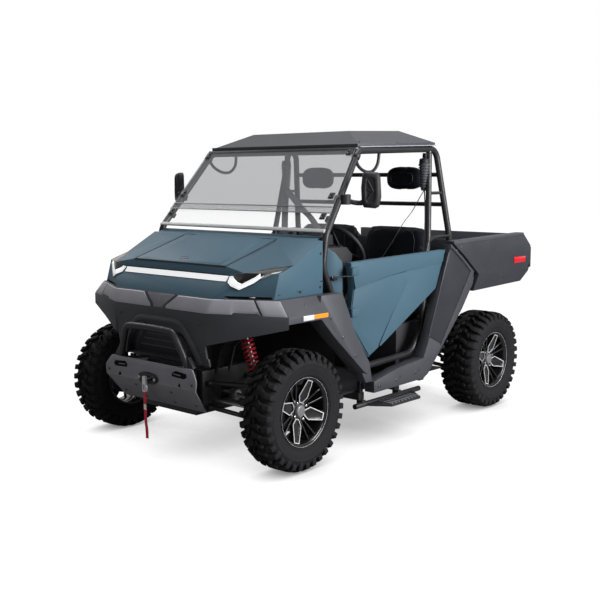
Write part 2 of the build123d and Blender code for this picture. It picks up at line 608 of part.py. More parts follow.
def nose_form(inset):
    """The nose, hood and cowl as one faceted block, smaller by an inset all round."""
    with BuildPart() as form:
        with BuildSketch(Plane.YZ.offset(-NOSE_HALF + inset)) as profile:
            with BuildLine():
                Polyline(*[(front_y(s), z) for s, z in NOSE], close=True)
            make_face()
            if inset:
                offset(amount=-inset, kind=Kind.INTERSECTION)
        extrude(profile.sketch, amount=2 * (NOSE_HALF - inset))
        for side in SIDES:
            split(bisect_by=sided(CORNER, side).offset(-inset), keep=Keep.BOTTOM)
            with BuildPart(mode=Mode.PRIVATE) as above:
                block(side, side * (NOSE_HALF + 20), front_y(-300), front_y(330), 900, 1400)
                split(bisect_by=sided(SHOULDER, side).offset(-inset), keep=Keep.TOP)
                split(bisect_by=sided(CREST, side).offset(-inset), keep=Keep.TOP)
            add(above.part, mode=Mode.SUBTRACT)
    return form.part


LID_DEPTH = 10.0
nose_outer = nose_form(0)
nose_inner = nose_form(SHELL)
lid_core = nose_form(LID_DEPTH)
lid_ledge = nose_form(LID_DEPTH + FIT)


LID_PIVOT = (231.0, 1207.0)     # station and z of the hood's hinge pins
LID_PIN_R = 3.0
LID_EAR = (250.0, 270.0)        # a hinge ear's sides, across the vehicle
LID_NOTCH_S = 222.0


def lid_outline(grow, rear_grow=0.0):
    front, rear = LID_FRONT, LID_REAR
    return [(-front[0] - grow, front_y(front[1] + 4) - grow), (front[0] + grow, front_y(front[1] + 4) - grow),
            (rear[0] + grow, front_y(rear[1]) + grow + rear_grow),
            (-rear[0] - grow, front_y(rear[1]) + grow + rear_grow)]


with BuildPart() as hood_lid:
    add(nose_outer)
    add(lid_core, mode=Mode.SUBTRACT)
    plan_prism(lid_outline(0), 1040, 1300, mode=Mode.INTERSECT)
    for side in SIDES:
        block(side * (LID_EAR[0] - 1), side * (LID_EAR[1] + 1),
              front_y(LID_NOTCH_S), front_y(LID_REAR[1] + 1), 1190, 1230, mode=Mode.SUBTRACT)
        rod((side * (LID_EAR[0] - 12), front_y(LID_PIVOT[0]), LID_PIVOT[1]),
            (side * (LID_EAR[1] + 12), front_y(LID_PIVOT[0]), LID_PIVOT[1]),
            LID_PIN_R + FIT, mode=Mode.SUBTRACT)
hood_lid.part.label = "hood_lid"
export_step(hood_lid.part, "parts/hood_lid.step")

BAR_HALF = 423.0
LIGHT_BAR = [(front_y(-209), 1014), (front_y(-194), 1030), (front_y(-188), 1042),
             (front_y(-179), 1042), (front_y(-184), 1030), (front_y(-199), 1014)]
LIGHT_BAR_SEAT = [(front_y(-230), 1014 - FIT), (front_y(-230), 1042 + FIT), (front_y(-179 + FIT), 1042 + FIT),
                  (front_y(-184 + FIT), 1030), (front_y(-199 + FIT), 1014 - FIT)]
LAMP_DEPTH = 9.0
LAMP = [(430, 1042), (694, 1100), (694, 1070), (525, 985), (440, 1016)]

with BuildPart() as light_bar:
    side_prism(LIGHT_BAR, -BAR_HALF, BAR_HALF)
light_bar.part.label = "light_bar"
export_step(light_bar.part, "parts/light_bar.step")


def lamp_zone(inset):
    """The corner lamps as a slice of the nose's skin, down to an inset."""
    with BuildPart() as zone:
        for side in SIDES:
            end_prism([(side * x, z) for x, z in LAMP], front_y(-300), front_y(100))
        add(nose_form(-3), mode=Mode.INTERSECT)
        add(nose_form(inset), mode=Mode.SUBTRACT)
    return zone


headlamps = lamp_zone(LAMP_DEPTH)
headlamps.part.label = "headlamps"
export_step(headlamps.part, "parts/headlamps.step")
lamp_seat = lamp_zone(LAMP_DEPTH + FIT)

with BuildPart() as front_body:
    add(nose_outer)
    add(nose_inner, mode=Mode.SUBTRACT)
    block(-NOSE_HALF, NOSE_HALF, front_y(300), front_y(400), 900, 1180, mode=Mode.SUBTRACT)
    block(-NOSE_HALF + SHELL, NOSE_HALF - SHELL, front_y(-250), front_y(300), 929, 943, mode=Mode.SUBTRACT)
    plan_prism(lid_outline(GAP, 3), 1040, 1300, mode=Mode.SUBTRACT)
    with BuildPart(mode=Mode.PRIVATE) as ledge:
        add(lid_ledge)
        add(nose_form(LID_DEPTH + FIT + 9), mode=Mode.SUBTRACT)
        plan_prism(lid_outline(30), 1040, 1300, mode=Mode.INTERSECT)
        plan_prism(lid_outline(-20), 1040, 1300, mode=Mode.SUBTRACT)
        block(-NOSE_HALF, NOSE_HALF, front_y(200), front_y(300), 1040, 1300, mode=Mode.SUBTRACT)
    add(ledge.part)
    for side in SIDES:
        ear = [(LID_NOTCH_S + 4, LID_PIVOT[1] - 4), (LID_PIVOT[0] - 4, LID_PIVOT[1] + 4),
               (LID_PIVOT[0] + 4, LID_PIVOT[1] + 4), (LID_REAR[1] + 14, 1192), (LID_REAR[1] + 14, 1186)]
        side_prism([(front_y(s), z) for s, z in ear], side * LID_EAR[0], side * LID_EAR[1])
        block(side * LID_EAR[0], side * LID_EAR[1], front_y(LID_REAR[1] + 9), front_y(LID_REAR[1] + 20),
              1186, 1212)
        rod((side * (LID_EAR[0] - 9), front_y(LID_PIVOT[0]), LID_PIVOT[1]),
            (side * (LID_EAR[1] + 9), front_y(LID_PIVOT[0]), LID_PIVOT[1]), LID_PIN_R)
    for side in SIDES:
        side_prism([(front_y(318), 1180), (front_y(318), 1240), (front_y(352), 1188), (front_y(471), 1093),
                    (front_y(459), 754), (front_y(440), 754), (front_y(440), 1060)],
                   side * COWL_IN, side * (COWL_IN + COWL_PLATE))
        block(side * (NOSE_HALF - FENDER_GAP), side * (NOSE_HALF + 1), front_y(262), front_y(400), 900, 1300,
              mode=Mode.SUBTRACT)
    add(side_hoops.part, mode=Mode.SUBTRACT)
    side_prism(LIGHT_BAR_SEAT, -BAR_HALF - FIT, BAR_HALF + FIT, mode=Mode.SUBTRACT)
    add(lamp_seat.part, mode=Mode.SUBTRACT)
front_body.part.label = "front_body"
export_step(front_body.part, "parts/front_body.step")

# ------------------------------------------------------------------ dashboard and steering wheel
DASH_HALF = COWL_IN - FIT
WHEEL_X = 360.0
WHEEL_CENTRE = Vector(WHEEL_X, front_y(840), 1130)
COLUMN_WAY = Vector(0, cos(radians(35)), sin(radians(35)))
COLUMN_R = 22.0
RIM_R = 165.0
GRIP_R = 14.0
HUB_BACK = 60.0

with BuildPart() as dashboard:
    side_prism([(front_y(330), 1100), (front_y(330), 1168), (front_y(555), 1165), (front_y(610), 1120),
                (front_y(590), 1000), (front_y(540), 870), (front_y(450), 830), (front_y(444), 1000)],
               -DASH_HALF, DASH_HALF)
    column_end = WHEEL_CENTRE - COLUMN_WAY * (HUB_BACK + FIT)
    rod(column_end - COLUMN_WAY * 330, column_end, COLUMN_R)
dashboard.part.label = "dashboard"
export_step(dashboard.part, "parts/dashboard.step")

with BuildPart() as steering_wheel:
    wheel_plane = Plane(WHEEL_CENTRE, x_dir=(1, 0, 0), z_dir=COLUMN_WAY)
    with BuildSketch(Plane(WHEEL_CENTRE, x_dir=(1, 0, 0), z_dir=wheel_plane.y_dir)) as grip:
        with Locations((RIM_R, 0)):
            Circle(GRIP_R)
    revolve(grip.sketch, axis=Axis(WHEEL_CENTRE, COLUMN_WAY))
    rod(WHEEL_CENTRE - COLUMN_WAY * HUB_BACK, WHEEL_CENTRE - COLUMN_WAY * 4, 38)
    with BuildSketch(wheel_plane.offset(-14)) as spokes:
        with PolarLocations((20 + RIM_R) / 2, 3, start_angle=-90):
            Rectangle(RIM_R - 20, 30)
    extrude(spokes.sketch, amount=10)
steering_wheel.part.label = "steering_wheel"
export_step(steering_wheel.part, "parts/steering_wheel.step")

# ------------------------------------------------------------------ bumper cover with the front fenders
LIP_LOW = 812.0
LIP_TOP = 848.0
COVER_TOP = 930.0 - FIT
SKIN = 12.0
LIP_X = 812.0
LIP_HALF = [(377, -318), (600, -220), (LIP_X, -137), (LIP_X, 180)]
SHELF_HALF = [(398, -290), (560, -208), (738, -118), (738, 180)]
FASCIA_HALF = 377.0
FENDER = [(150, LIP_LOW), (263, 700), (534, 450), (571, 388), (629, 388), (604, 500), (439, 740), (437, 760),
          (385, 860), (350, COVER_TOP), (170, COVER_TOP)]


def stations(outline):
    """Turns (x, station) pairs into (x, y)."""
    return [(x, front_y(s)) for x, s in outline]


def ring(half_outline):
    return stations(half_outline) + [(-x, y) for x, y in reversed(stations(half_outline))]


def loft_between(low_outline, z0, high_outline, z1, mode=Mode.ADD):
    faces = []
    for outline, z in ((low_outline, z0), (high_outline, z1)):
        with BuildSketch(Plane.XY.offset(z)) as section:
            with BuildLine():
                Polyline(*outline, close=True)
            make_face()
        faces.append(section.sketch.faces()[0])
    loft(faces, ruled=True, mode=mode)


def inward(half_outline, by):
    last_x, last_s = half_outline[-1]
    return [(x - by, s + by * 1.2) for x, s in half_outline[:-1]] + [(last_x - by, last_s + 1)]


RECESS_HALF = [(296, 572), (258, 655), (188, 726), (118, 756)]      # x and z of the arch behind the bull bar
RECESS_DEPTH = 34.0
FASCIA = [(-318, LIP_LOW), (-310, 673), (-288, 558)]


def mirror_outline(half_outline):
    return half_outline + [(-x, z) for x, z in reversed(half_outline)]


def grown(half_outline, by):
    """The arch drawn out by a wall's thickness, its foot as well."""
    return [(half_outline[0][0] + by, half_outline[0][1] - by)] + [(x + by * 0.8, z + by * 0.8)
                                                                   for x, z in half_outline[1:]]


def fascia_slab(front, back):
    """A slab that follows the fascia's face, between two distances behind it."""
    face = [(front_y(s), z) for s, z in FASCIA]
    return [(y + front, z) for y, z in face] + [(y + back, z) for y, z in reversed(face)]


with BuildPart() as bumper_cover:
    plan_prism(ring(LIP_HALF), LIP_LOW, LIP_TOP)
    loft_between(ring(LIP_HALF), LIP_TOP, ring(SHELF_HALF), COVER_TOP)
    plan_prism(ring(inward(LIP_HALF, SKIN)), LIP_LOW - 1, LIP_TOP - SKIN, mode=Mode.SUBTRACT)
    loft_between(ring(inward(LIP_HALF, SKIN)), LIP_TOP - SKIN,
                 ring(inward(SHELF_HALF, SKIN + 6)), COVER_TOP - SKIN, mode=Mode.SUBTRACT)
    plan_prism(ring(inward(SHELF_HALF, 50)), COVER_TOP - SKIN - 1, COVER_TOP + 1, mode=Mode.SUBTRACT)
    # the fascia's face, and the skirt that runs out from it under the lip
    side_prism(fascia_slab(0, SKIN), -FASCIA_HALF, FASCIA_HALF)
    for side in SIDES:
        skirt = LIP_HALF[:3] + [(802, -128), (594, -206), (365, -303)]
        plan_prism([(side * x, y) for x, y in stations(skirt)], 660, LIP_LOW)
        end_prism([(side * 365, 673), (side * 812, 786), (side * 900, 786), (side * 900, 600),
                   (side * 365, 600)],
                  front_y(-400), front_y(-100), mode=Mode.SUBTRACT)
    for side in SIDES:
        side_prism([(front_y(s), z) for s, z in FENDER], side * 706, side * 772)
        side_prism([(front_y(s), z) for s, z in FENDER[:3] + [(500, 470), (235, 700), (100, 834)]],
                   side * 706, side * LIP_X)
    with BuildPart(mode=Mode.PRIVATE) as tub:
        end_prism(mirror_outline(grown(RECESS_HALF, 8)), front_y(-330), front_y(-200))
        side_prism(fascia_slab(6, RECESS_DEPTH + 8), -FASCIA_HALF, FASCIA_HALF, mode=Mode.INTERSECT)
    with BuildPart(mode=Mode.PRIVATE) as hollow:
        end_prism(mirror_outline(RECESS_HALF), front_y(-340), front_y(-200))
        side_prism(fascia_slab(-20, RECESS_DEPTH), -FASCIA_HALF, FASCIA_HALF, mode=Mode.INTERSECT)
    add(tub.part)
    add(hollow.part, mode=Mode.SUBTRACT)
    add(side_hoops.part, mode=Mode.SUBTRACT)
bumper_cover.part.label = "bumper_cover"
export_step(bumper_cover.part, "parts/bumper_cover.step")

# ------------------------------------------------------------------ bull bar, winch plate, winch and hook
PLATE = 8.0
PLATE_PROFILE = [(-379, 552), (-392, 497), (-392, 440), (-285, 302)]
PLATE_FRONT = front_y(-392)
with BuildPart() as winch_plate:
    back = [(s + PLATE, z) for s, z in reversed(PLATE_PROFILE)]
    side_prism([(front_y(s), z) for s, z in PLATE_PROFILE + back], -381, 381)
    for side in SIDES:
        end_prism([(side * 340, 553), (side * 382, 497), (side * 382, 553)], front_y(-400), front_y(-200),
                  mode=Mode.SUBTRACT)
        end_prism([(side * 382, 470), (side * 342, 301), (side * 382, 301)], front_y(-400), front_y(-200),
                  mode=Mode.SUBTRACT)
        block(side * 223, side * 293, front_y(-400), front_y(-300), 504, 518, mode=Mode.SUBTRACT)
        rod((side * 259, front_y(-400), 450), (side * 259, front_y(-340), 450), 7, mode=Mode.SUBTRACT)
    block(-60, 60, front_y(-400), front_y(-370), 450, 476, mode=Mode.SUBTRACT)
    for side in SIDES:
        side_prism([(front_y(s), z) for s, z in ((-371, 545), (-384, 497), (-384, 440), (-277, 302),
                                                 (-250 - FIT, 302), (-250 - FIT, 535))],
                   side * 172, side * 180)
winch_plate.part.label = "winch_plate"
export_step(winch_plate.part, "parts/winch_plate.step")

BULL_R = 16.0
BULL = [(282, -358, 552), (196, -382, 741), (-196, -382, 741), (-282, -358, 552)]
with BuildPart() as bull_bar:
    bent_tube([(x, front_y(s), z) for x, s, z in BULL], BULL_R, [60, 60])
    add(winch_plate.part, mode=Mode.SUBTRACT)
bull_bar.part.label = "bull_bar"
export_step(bull_bar.part, "parts/bull_bar.step")

WINCH_Z = 463.0
WINCH_S = -318.0
WINCH_R = 48.0
with BuildPart() as winch:
    rod((-172 + FIT, front_y(WINCH_S), WINCH_Z), (172 - FIT, front_y(WINCH_S), WINCH_Z), WINCH_R)
    with BuildSketch(Plane((0, PLATE_FRONT, WINCH_Z), x_dir=(1, 0, 0), z_dir=(0, -1, 0))) as fairlead:
        SlotOverall(150, 56)
        SlotOverall(96, 24, mode=Mode.SUBTRACT)
    extrude(fairlead.sketch, amount=14)
winch.part.label = "winch"
export_step(winch.part, "parts/winch.step")

HOOK_Y = front_y(-FRONT_OVERHANG)
with BuildPart() as tow_hook:
    block(-12, 12, HOOK_Y, HOOK_Y + 16, 392, 478)
    block(-6, 6, HOOK_Y + 4, front_y(WINCH_S) - WINCH_R - FIT, 456, 468)
    block(-7, 7, HOOK_Y - 1, HOOK_Y + 17, 400, 436, mode=Mode.SUBTRACT)
tow_hook.part.label = "tow_hook"
export_step(tow_hook.part, "parts/tow_hook.step")

STRAP_R = 5.0
STRAP = [(0, -422, 391.2), (3, -424, 338), (0, -420, 282), (5, -424, 226), (12, -421, 172), (16, -425, 130)]


def free_route(points):
    """A free cord's path: straight runs joined by arcs as large as the runs allow."""
    spots = [Vector(x, front_y(s), z) for x, s, z in points]
    radii = []
    for before, here, after in zip(spots, spots[1:], spots[2:]):
        run = min((here - before).length, (after - here).length)
        turn = radians((here - before).get_angle(after - here))
        radii.append(0.45 * run / tan(turn / 2))
    return spots, radii


with BuildPart() as winch_strap:
    spots, radii = free_route(STRAP)
    bent_tube(spots, STRAP_R, radii)
winch_strap.part.label = "winch_strap"
export_step(winch_strap.part, "parts/winch_strap.step")

with BuildPart() as marker_lamps:
    for side in SIDES:
        for s0, s1 in ((-26, 58), (64, 176)):
            block(side * (LIP_X + FIT), side * (LIP_X + 4), front_y(s0), front_y(s1), 820, 844)
marker_lamps.part.label = "marker_lamps"
export_step(marker_lamps.part, "parts/marker_lamps.step")

# ------------------------------------------------------------------ sides: sill, quarter panel and step
SIDE_IN = 712.0
SIDE_OUT = 780.0
SILL = [("f", 640, 317), ("f", 937, 320), ("f", 1153, 322), ("f", 1322, 400), ("r", -567, 401),
        ("r", -324, 694), ("r", -197, 812), ("r", -185, 925), ("r", -353, 1046), ("r", -506, 1144),
        ("f", 1440, 1130), ("f", 1440, 1091), ("f", 1333, 859), ("f", 1214, 573), ("f", 1149, 449),
        ("f", 871, 427), ("f", 640, 384)]


#             station  z of the stays that carry a moulding on its hoop
SILL_STAYS = [(642.0, 350.0), (988.0, 350.0), (1640.0, 1000.0)]


def mixed(outline):
    """Points whose station is behind the front axle (f) or from the rear one (r)."""
    return [((front_y if axle == "f" else rear_y)(s), z) for axle, s, z in outline]


#             station  z of the line where a wheel arch's edge turns inwards
ARCH = [(1355.0, 430.0), (1592.0, 716.0), (1716.0, 834.0), (1726.0, 930.0)]
PANEL_RECESS = [(1346, 506), (1450, 645), (1565, 793), (1690, 952), (1578, 1036), (1449, 1120), (1420, 1092),
                (1324, 859), (1204, 573)]


def bevel_plane(side, x, start, end):
    """A plane at 45 degrees, through a line on a side face, that turns in behind and below it."""
    along = Vector(0, end[0] - start[0], end[1] - start[1]).normalized()
    out = Vector(0, along.Z, -along.Y)
    return Plane((side * x, start[0], start[1]), z_dir=Vector(side, 0, 0) + out)


with BuildPart() as side_mouldings:
    for side in SIDES:
        side_prism(mixed(SILL), side * SIDE_IN, side * SIDE_OUT)
        for (s0, z0), (s1, z1) in zip(ARCH, ARCH[1:]):
            split(bisect_by=bevel_plane(side, SIDE_OUT, (front_y(s0), z0), (front_y(s1), z1)),
                  keep=Keep.BOTTOM)
        side_prism([(front_y(s), z) for s, z in PANEL_RECESS], side * (SIDE_OUT - 10), side * (SIDE_OUT + 1),
                   mode=Mode.SUBTRACT)
        for s, z in SILL_STAYS:
            block(side * HOOP_X, side * (SIDE_IN + 1), front_y(s - 5), front_y(s + 20), z - 15, z + 15)
    add(side_hoops.part, mode=Mode.SUBTRACT)
side_mouldings.part.label = "side_mouldings"
export_step(side_mouldings.part, "parts/side_mouldings.step")

with BuildPart() as side_steps:
    for side in SIDES:
        rod((side * 700, front_y(560), 236), (side * 700, front_y(1220), 236), 16)
        plate = [(714, 650), (735, 660), (842, 735), (848, 1020), (735, 1110), (714, 1120)]
        plan_prism([(side * x, y) for x, y in stations(plate)], 228, 242)
        for y in OUTRIGGERS[:2]:
            block(side * (HOOP_X - 12), side * 708, y - 15, y + 15, 236, RAIL_LOW)
side_steps.part.label = "side_steps"
export_step(side_steps.part, "parts/side_steps.step")

RECEIVER = 32.0
RECEIVER_HOLE = 25.9
HITCH_Z = 330.0
with BuildPart() as hitch_receiver:
    block(-RECEIVER, RECEIVER, rear_y(262), rear_y(470), HITCH_Z - RECEIVER, HITCH_Z + RECEIVER)
    block(-RECEIVER_HOLE, RECEIVER_HOLE, rear_y(290), rear_y(471),
          HITCH_Z - RECEIVER_HOLE, HITCH_Z + RECEIVER_HOLE, mode=Mode.SUBTRACT)
    rod((-RECEIVER - 1, rear_y(420), HITCH_Z), (RECEIVER + 1, rear_y(420), HITCH_Z), 8, mode=Mode.SUBTRACT)
    block(-RAIL_IN, RAIL_IN, rear_y(280), rear_y(320), RAIL_LOW, HITCH_Z - RECEIVER)
hitch_receiver.part.label = "hitch_receiver"
export_step(hitch_receiver.part, "parts/hitch_receiver.step")

# ------------------------------------------------------------------ cargo bed and tailgate
BED_SIDE_IN = 728.0
BED_SIDE_OUT = 790.0
BED_FRONT = -235.0
BED_REAR = 505.0
BED_PANEL = [(-496, 1151), (433, 1168), (540, 1080), (550, 895), (478, 826), (-182, 812), (-168, 924),
             (-344, 1053)]
BED_CREASE = [(-168, 928), (550, 962)]      # below it the panel turns in towards the wheel
BED_TUCK = 36.0             # how far it turns in, over its height
BED_TUCK_DROP = 116.0
GATE_Z = 905.0
GATE_TOP = 1160.0
GATE_IN = 510.0
GATE_OUT = 550.0
GATE_AXIS = (538.0, 917.0)
GATE_PIN_R = 8.0
BED_RAIL = 40.0

with BuildPart() as cargo_bed:
    for side in SIDES:
        side_prism([(rear_y(s), z) for s, z in BED_PANEL], side * BED_SIDE_IN, side * BED_SIDE_OUT)
        (s0, z0), (s1, z1) = BED_CREASE
        crease = Vector(0, s1 - s0, z1 - z0).normalized()
        fall = Vector(-side * BED_TUCK, crease.Z * BED_TUCK_DROP, -crease.Y * BED_TUCK_DROP)
        split(bisect_by=Plane((side * BED_SIDE_OUT, rear_y(s0), z0), z_dir=crease.cross(fall) * -side),
              keep=Keep.BOTTOM)
        block(side * RAIL_IN, side * RAIL_OUT, rear_y(-330), rear_y(200), BED_FLOOR_Z - BED_RAIL, BED_FLOOR_Z)
        block(side * (RAIL_OUT + 8), side * (RAIL_OUT + 28), BED_PIVOT_Y - 28, BED_PIVOT_Y + 28,
              BED_PIVOT_Z - 28, BED_FLOOR_Z)
        rod((side * (RAIL_OUT + 4), BED_PIVOT_Y, BED_PIVOT_Z),
            (side * (RAIL_OUT + 32), BED_PIVOT_Y, BED_PIVOT_Z), BED_PIVOT_R + FIT, mode=Mode.SUBTRACT)
        rod((side * (BED_SIDE_IN - 1), rear_y(GATE_AXIS[0]), GATE_AXIS[1]),
            (side * (BED_SIDE_IN + 16), rear_y(GATE_AXIS[0]), GATE_AXIS[1]),
            GATE_PIN_R + FIT, mode=Mode.SUBTRACT)
    tub_half = SIDE_IN - GAP
    block(-tub_half, tub_half, rear_y(BED_FRONT), rear_y(BED_REAR), BED_FLOOR_Z, BED_FLOOR_Z + 12)
    block(-tub_half, tub_half, rear_y(BED_FRONT), rear_y(BED_FRONT + 14), BED_FLOOR_Z, 1150)
    for side in SIDES:
        block(side * tub_half, side * BED_SIDE_IN, rear_y(-140), rear_y(BED_REAR),
              BED_FLOOR_Z, BED_FLOOR_Z + 12)
        block(side * (tub_half - 10), side * tub_half, rear_y(BED_FRONT), rear_y(-128), BED_FLOOR_Z, 1150)
        block(side * tub_half, side * BED_SIDE_IN, rear_y(-140), rear_y(-128), BED_FLOOR_Z, 1150)
    block(-RAIL_IN, RAIL_IN, rear_y(-330), rear_y(BED_FRONT + 30), BED_FLOOR_Z - 30, BED_FLOOR_Z)
cargo_bed.part.label = "cargo_bed"
export_step(cargo_bed.part, "parts/cargo_bed.step")

with BuildPart() as tail_lamps:
    for side in SIDES:
        side_prism([(rear_y(s), z) for s, z in ((548.6, 930), (541.4, 1060), (548, 1060), (555, 930))],
                   side * 742, side * 784)
        block(side * (BED_SIDE_OUT + FIT), side * (BED_SIDE_OUT + 4), rear_y(300), rear_y(462), 968, 1010)
tail_lamps.part.label = "tail_lamps"
export_step(tail_lamps.part, "parts/tail_lamps.step")

with BuildPart() as tailgate:
    gate_half = BED_SIDE_IN - GAP
    block(-gate_half, gate_half, rear_y(GATE_IN), rear_y(GATE_OUT), GATE_Z, GATE_TOP)
    rod((-BED_SIDE_IN - 12, rear_y(GATE_AXIS[0]), GATE_AXIS[1]),
        (BED_SIDE_IN + 12, rear_y(GATE_AXIS[0]), GATE_AXIS[1]), GATE_PIN_R)
    block(-80, 80, rear_y(GATE_OUT), rear_y(REAR_OVERHANG), 1070, 1100)
tailgate.part.label = "tailgate"
export_step(tailgate.part, "parts/tailgate.step")

# ------------------------------------------------------------------ doors
DOOR_IN = 705.0
DOOR_OUT = 745.0
DOOR = [(457, 1088), (1430, 1106), (1324, 868), (625, 527), (447, 748), (482, 943)]
for name, side in (("left", 1), ("right", -1)):
    with BuildPart() as door:
        side_prism([(front_y(s), z) for s, z in DOOR], side * DOOR_IN, side * DOOR_OUT)
        for z, s in HINGES:
            block(side * (DOOR_OUT - 12), side * (HINGE_X + 4), front_y(HINGE_S), front_y(HINGE_S + 60),
                  z, z + HINGE_H)
            rod((side * HINGE_X, front_y(HINGE_S), z),
                (side * HINGE_X, front_y(HINGE_S), z + HINGE_H), 11)
        for z, s in HINGES:
            rod((side * HINGE_X, front_y(HINGE_S), z - 1),
                (side * HINGE_X, front_y(HINGE_S), z + HINGE_H + 1), PIN_R + FIT, mode=Mode.SUBTRACT)
    door.part.label = "door_" + name
    export_step(door.part, "parts/door_%s.step" % name)
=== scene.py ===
"""Looks of a two-seat side by side utility vehicle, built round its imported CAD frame.

+X is the vehicle's left, -Y its front and +Z up, in metres.  Tables are in millimetres, and a
station is a distance behind the front axle (front_y) or behind the rear axle (rear_y).
"""
import math

import bmesh
import bpy
import numpy as np
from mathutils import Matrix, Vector


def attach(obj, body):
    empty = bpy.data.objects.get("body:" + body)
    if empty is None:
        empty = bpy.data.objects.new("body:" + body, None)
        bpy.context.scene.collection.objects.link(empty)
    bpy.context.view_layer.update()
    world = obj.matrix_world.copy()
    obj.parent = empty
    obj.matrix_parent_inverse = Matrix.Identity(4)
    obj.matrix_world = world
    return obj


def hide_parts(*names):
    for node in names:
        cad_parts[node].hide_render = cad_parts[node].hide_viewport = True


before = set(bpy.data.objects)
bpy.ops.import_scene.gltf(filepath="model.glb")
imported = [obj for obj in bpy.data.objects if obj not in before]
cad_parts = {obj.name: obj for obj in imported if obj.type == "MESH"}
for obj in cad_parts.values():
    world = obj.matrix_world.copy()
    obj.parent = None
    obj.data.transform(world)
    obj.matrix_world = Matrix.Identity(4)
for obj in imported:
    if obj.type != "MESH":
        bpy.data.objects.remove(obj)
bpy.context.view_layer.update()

MM = 0.001
FRONT_AXLE = -1040.0
REAR_AXLE = 908.0
HUB_Z = 328.0
SIDES = (1, -1)
SIDE_NAMES = {1: "left", -1: "right"}
X_WAY, Y_WAY, Z_WAY = (1, 0, 0), (0, 1, 0), (0, 0, 1)


def front_y(station):
    return FRONT_AXLE + station


def rear_y(station):
    return REAR_AXLE + station


def ahead(*points):
    """Points (x, station, z) placed in the frame, their stations behind the front axle."""
    return [(x, front_y(station), z) for x, station, z in points]


def linked(name, data):
    obj = bpy.data.objects.new(name, data)
    bpy.context.scene.collection.objects.link(obj)
    return obj


# ------------------------------------------------------------------ camera and lamps
camera_data = bpy.data.cameras.new("camera")
camera_data.sensor_width = 36.0
camera_data.lens = 56.35
camera = linked("camera", camera_data)
AZIMUTH, ELEVATION = math.radians(41.172), math.radians(7.385)
camera_back = Vector((math.sin(AZIMUTH) * math.cos(ELEVATION), -math.cos(AZIMUTH) * math.cos(ELEVATION),
        math.sin(ELEVATION)))
camera.location = (3.9787, -4.7128, 1.5568)
camera.rotation_euler = (-camera_back).to_track_quat("-Z", "Y").to_euler()
bpy.context.scene.camera = camera
bpy.context.scene.view_settings.view_transform = "Standard"

#     name, place, aim, size in metres, power in watts
LAMPS = [("side_lamp", (6.0, 0.6, 2.7), (0, 0, 0.7), 3.0, 450),
    ("top_lamp", (0.2, 0.4, 6.6), (0, -0.2, 0.8), 4.0, 200),
    ("front_lamp", (1.6, -6.2, 2.2), (0, -0.8, 0.5), 2.0, 26),
    ("rear_lamp", (-5.4, 0.2, 4.6), (0, 0, 0.9), 3.0, 70)]
for name, place, aim, size, power in LAMPS:
    data = bpy.data.lights.new(name, "AREA")
    data.shape = "DISK"
    data.size = size
    data.energy = power
    lamp = linked(name, data)
    lamp.location = place
    lamp.rotation_euler = (Vector(aim) - Vector(place)).to_track_quat("-Z", "Y").to_euler()
    lamp.visible_camera = False


# ------------------------------------------------------------------ world and floor
def node_tree(owner):
    owner.use_nodes = True
    tree = owner.node_tree
    tree.nodes.clear()
    return tree


def node(tree, kind, inputs, **settings):
    """A node of a tree; each input has its own value, or the output that feeds it."""
    made = tree.nodes.new(kind)
    for name, value in settings.items():
        setattr(made, name, value)
    for name, value in inputs.items():
        if isinstance(value, bpy.types.NodeSocket):
            tree.links.new(value, made.inputs[name])
        else:
            made.inputs[name].default_value = value
    return made


def seen_directly(tree):
    """A factor that is 1 for what the camera sees, also through a pane, and 0 for light."""
    path = node(tree, "ShaderNodeLightPath", {})
    rays = {0: path.outputs["Is Camera Ray"], 1: path.outputs["Is Transmission Ray"]}
    return node(tree, "ShaderNodeMath", rays,
        operation="MAXIMUM").outputs[0]


WHITE = (1, 1, 1, 1)
world = bpy.data.worlds.new("studio")
bpy.context.scene.world = world
tree = node_tree(world)
place = node(tree, "ShaderNodeTexCoord", {})
behind = node(tree, "ShaderNodeVectorMath", {0: place.outputs["Generated"], 1: (-0.45, 0.80, 0.40)},
    operation="DOT_PRODUCT")
span = node(tree, "ShaderNodeMapRange", {"Value": behind.outputs["Value"], "From Min": -0.6, "From Max": 0.8,
        "To Min": 0.08, "To Max": 0.52})
light = node(tree, "ShaderNodeBackground", {"Color": WHITE, "Strength": span.outputs[0]})
seen = node(tree, "ShaderNodeBackground", {"Color": WHITE, "Strength": 1.0})
mix = node(tree, "ShaderNodeMixShader", {0: seen_directly(tree), 1: light.outputs[0], 2: seen.outputs[0]})
node(tree, "ShaderNodeOutputWorld", {0: mix.outputs[0]})

# the floor glows white where it is open; an occlusion factor darkens that glow close under the vehicle, a
# painted shadow
FLOOR_HALF = 30.0
floor_mesh = bpy.data.meshes.new("floor")
floor_mesh.from_pydata([(x * FLOOR_HALF, y * FLOOR_HALF, 0) for x, y in ((-1, -1), (1, -1), (1, 1), (-1, 1))],
    [], [(0, 1, 2, 3)])
floor = linked("floor", floor_mesh)
floor_look = bpy.data.materials.new("floor_look")
tree = node_tree(floor_look)
matt = node(tree, "ShaderNodeBsdfDiffuse", {"Color": (0.25, 0.25, 0.25, 1)})
near = node(tree, "ShaderNodeAmbientOcclusion", {"Distance": 0.55}, samples=16)
shade = node(tree, "ShaderNodeMapRange", {"Value": near.outputs["AO"], "From Min": 0.05, "From Max": 0.68,
        "To Min": 0.20, "To Max": 1.05})
white = node(tree, "ShaderNodeEmission", {"Strength": shade.outputs[0]})
pick = node(tree, "ShaderNodeMixShader", {0: seen_directly(tree), 1: matt.outputs[0], 2: white.outputs[0]})
node(tree, "ShaderNodeOutputMaterial", {0: pick.outputs[0]})
floor_mesh.materials.append(floor_look)


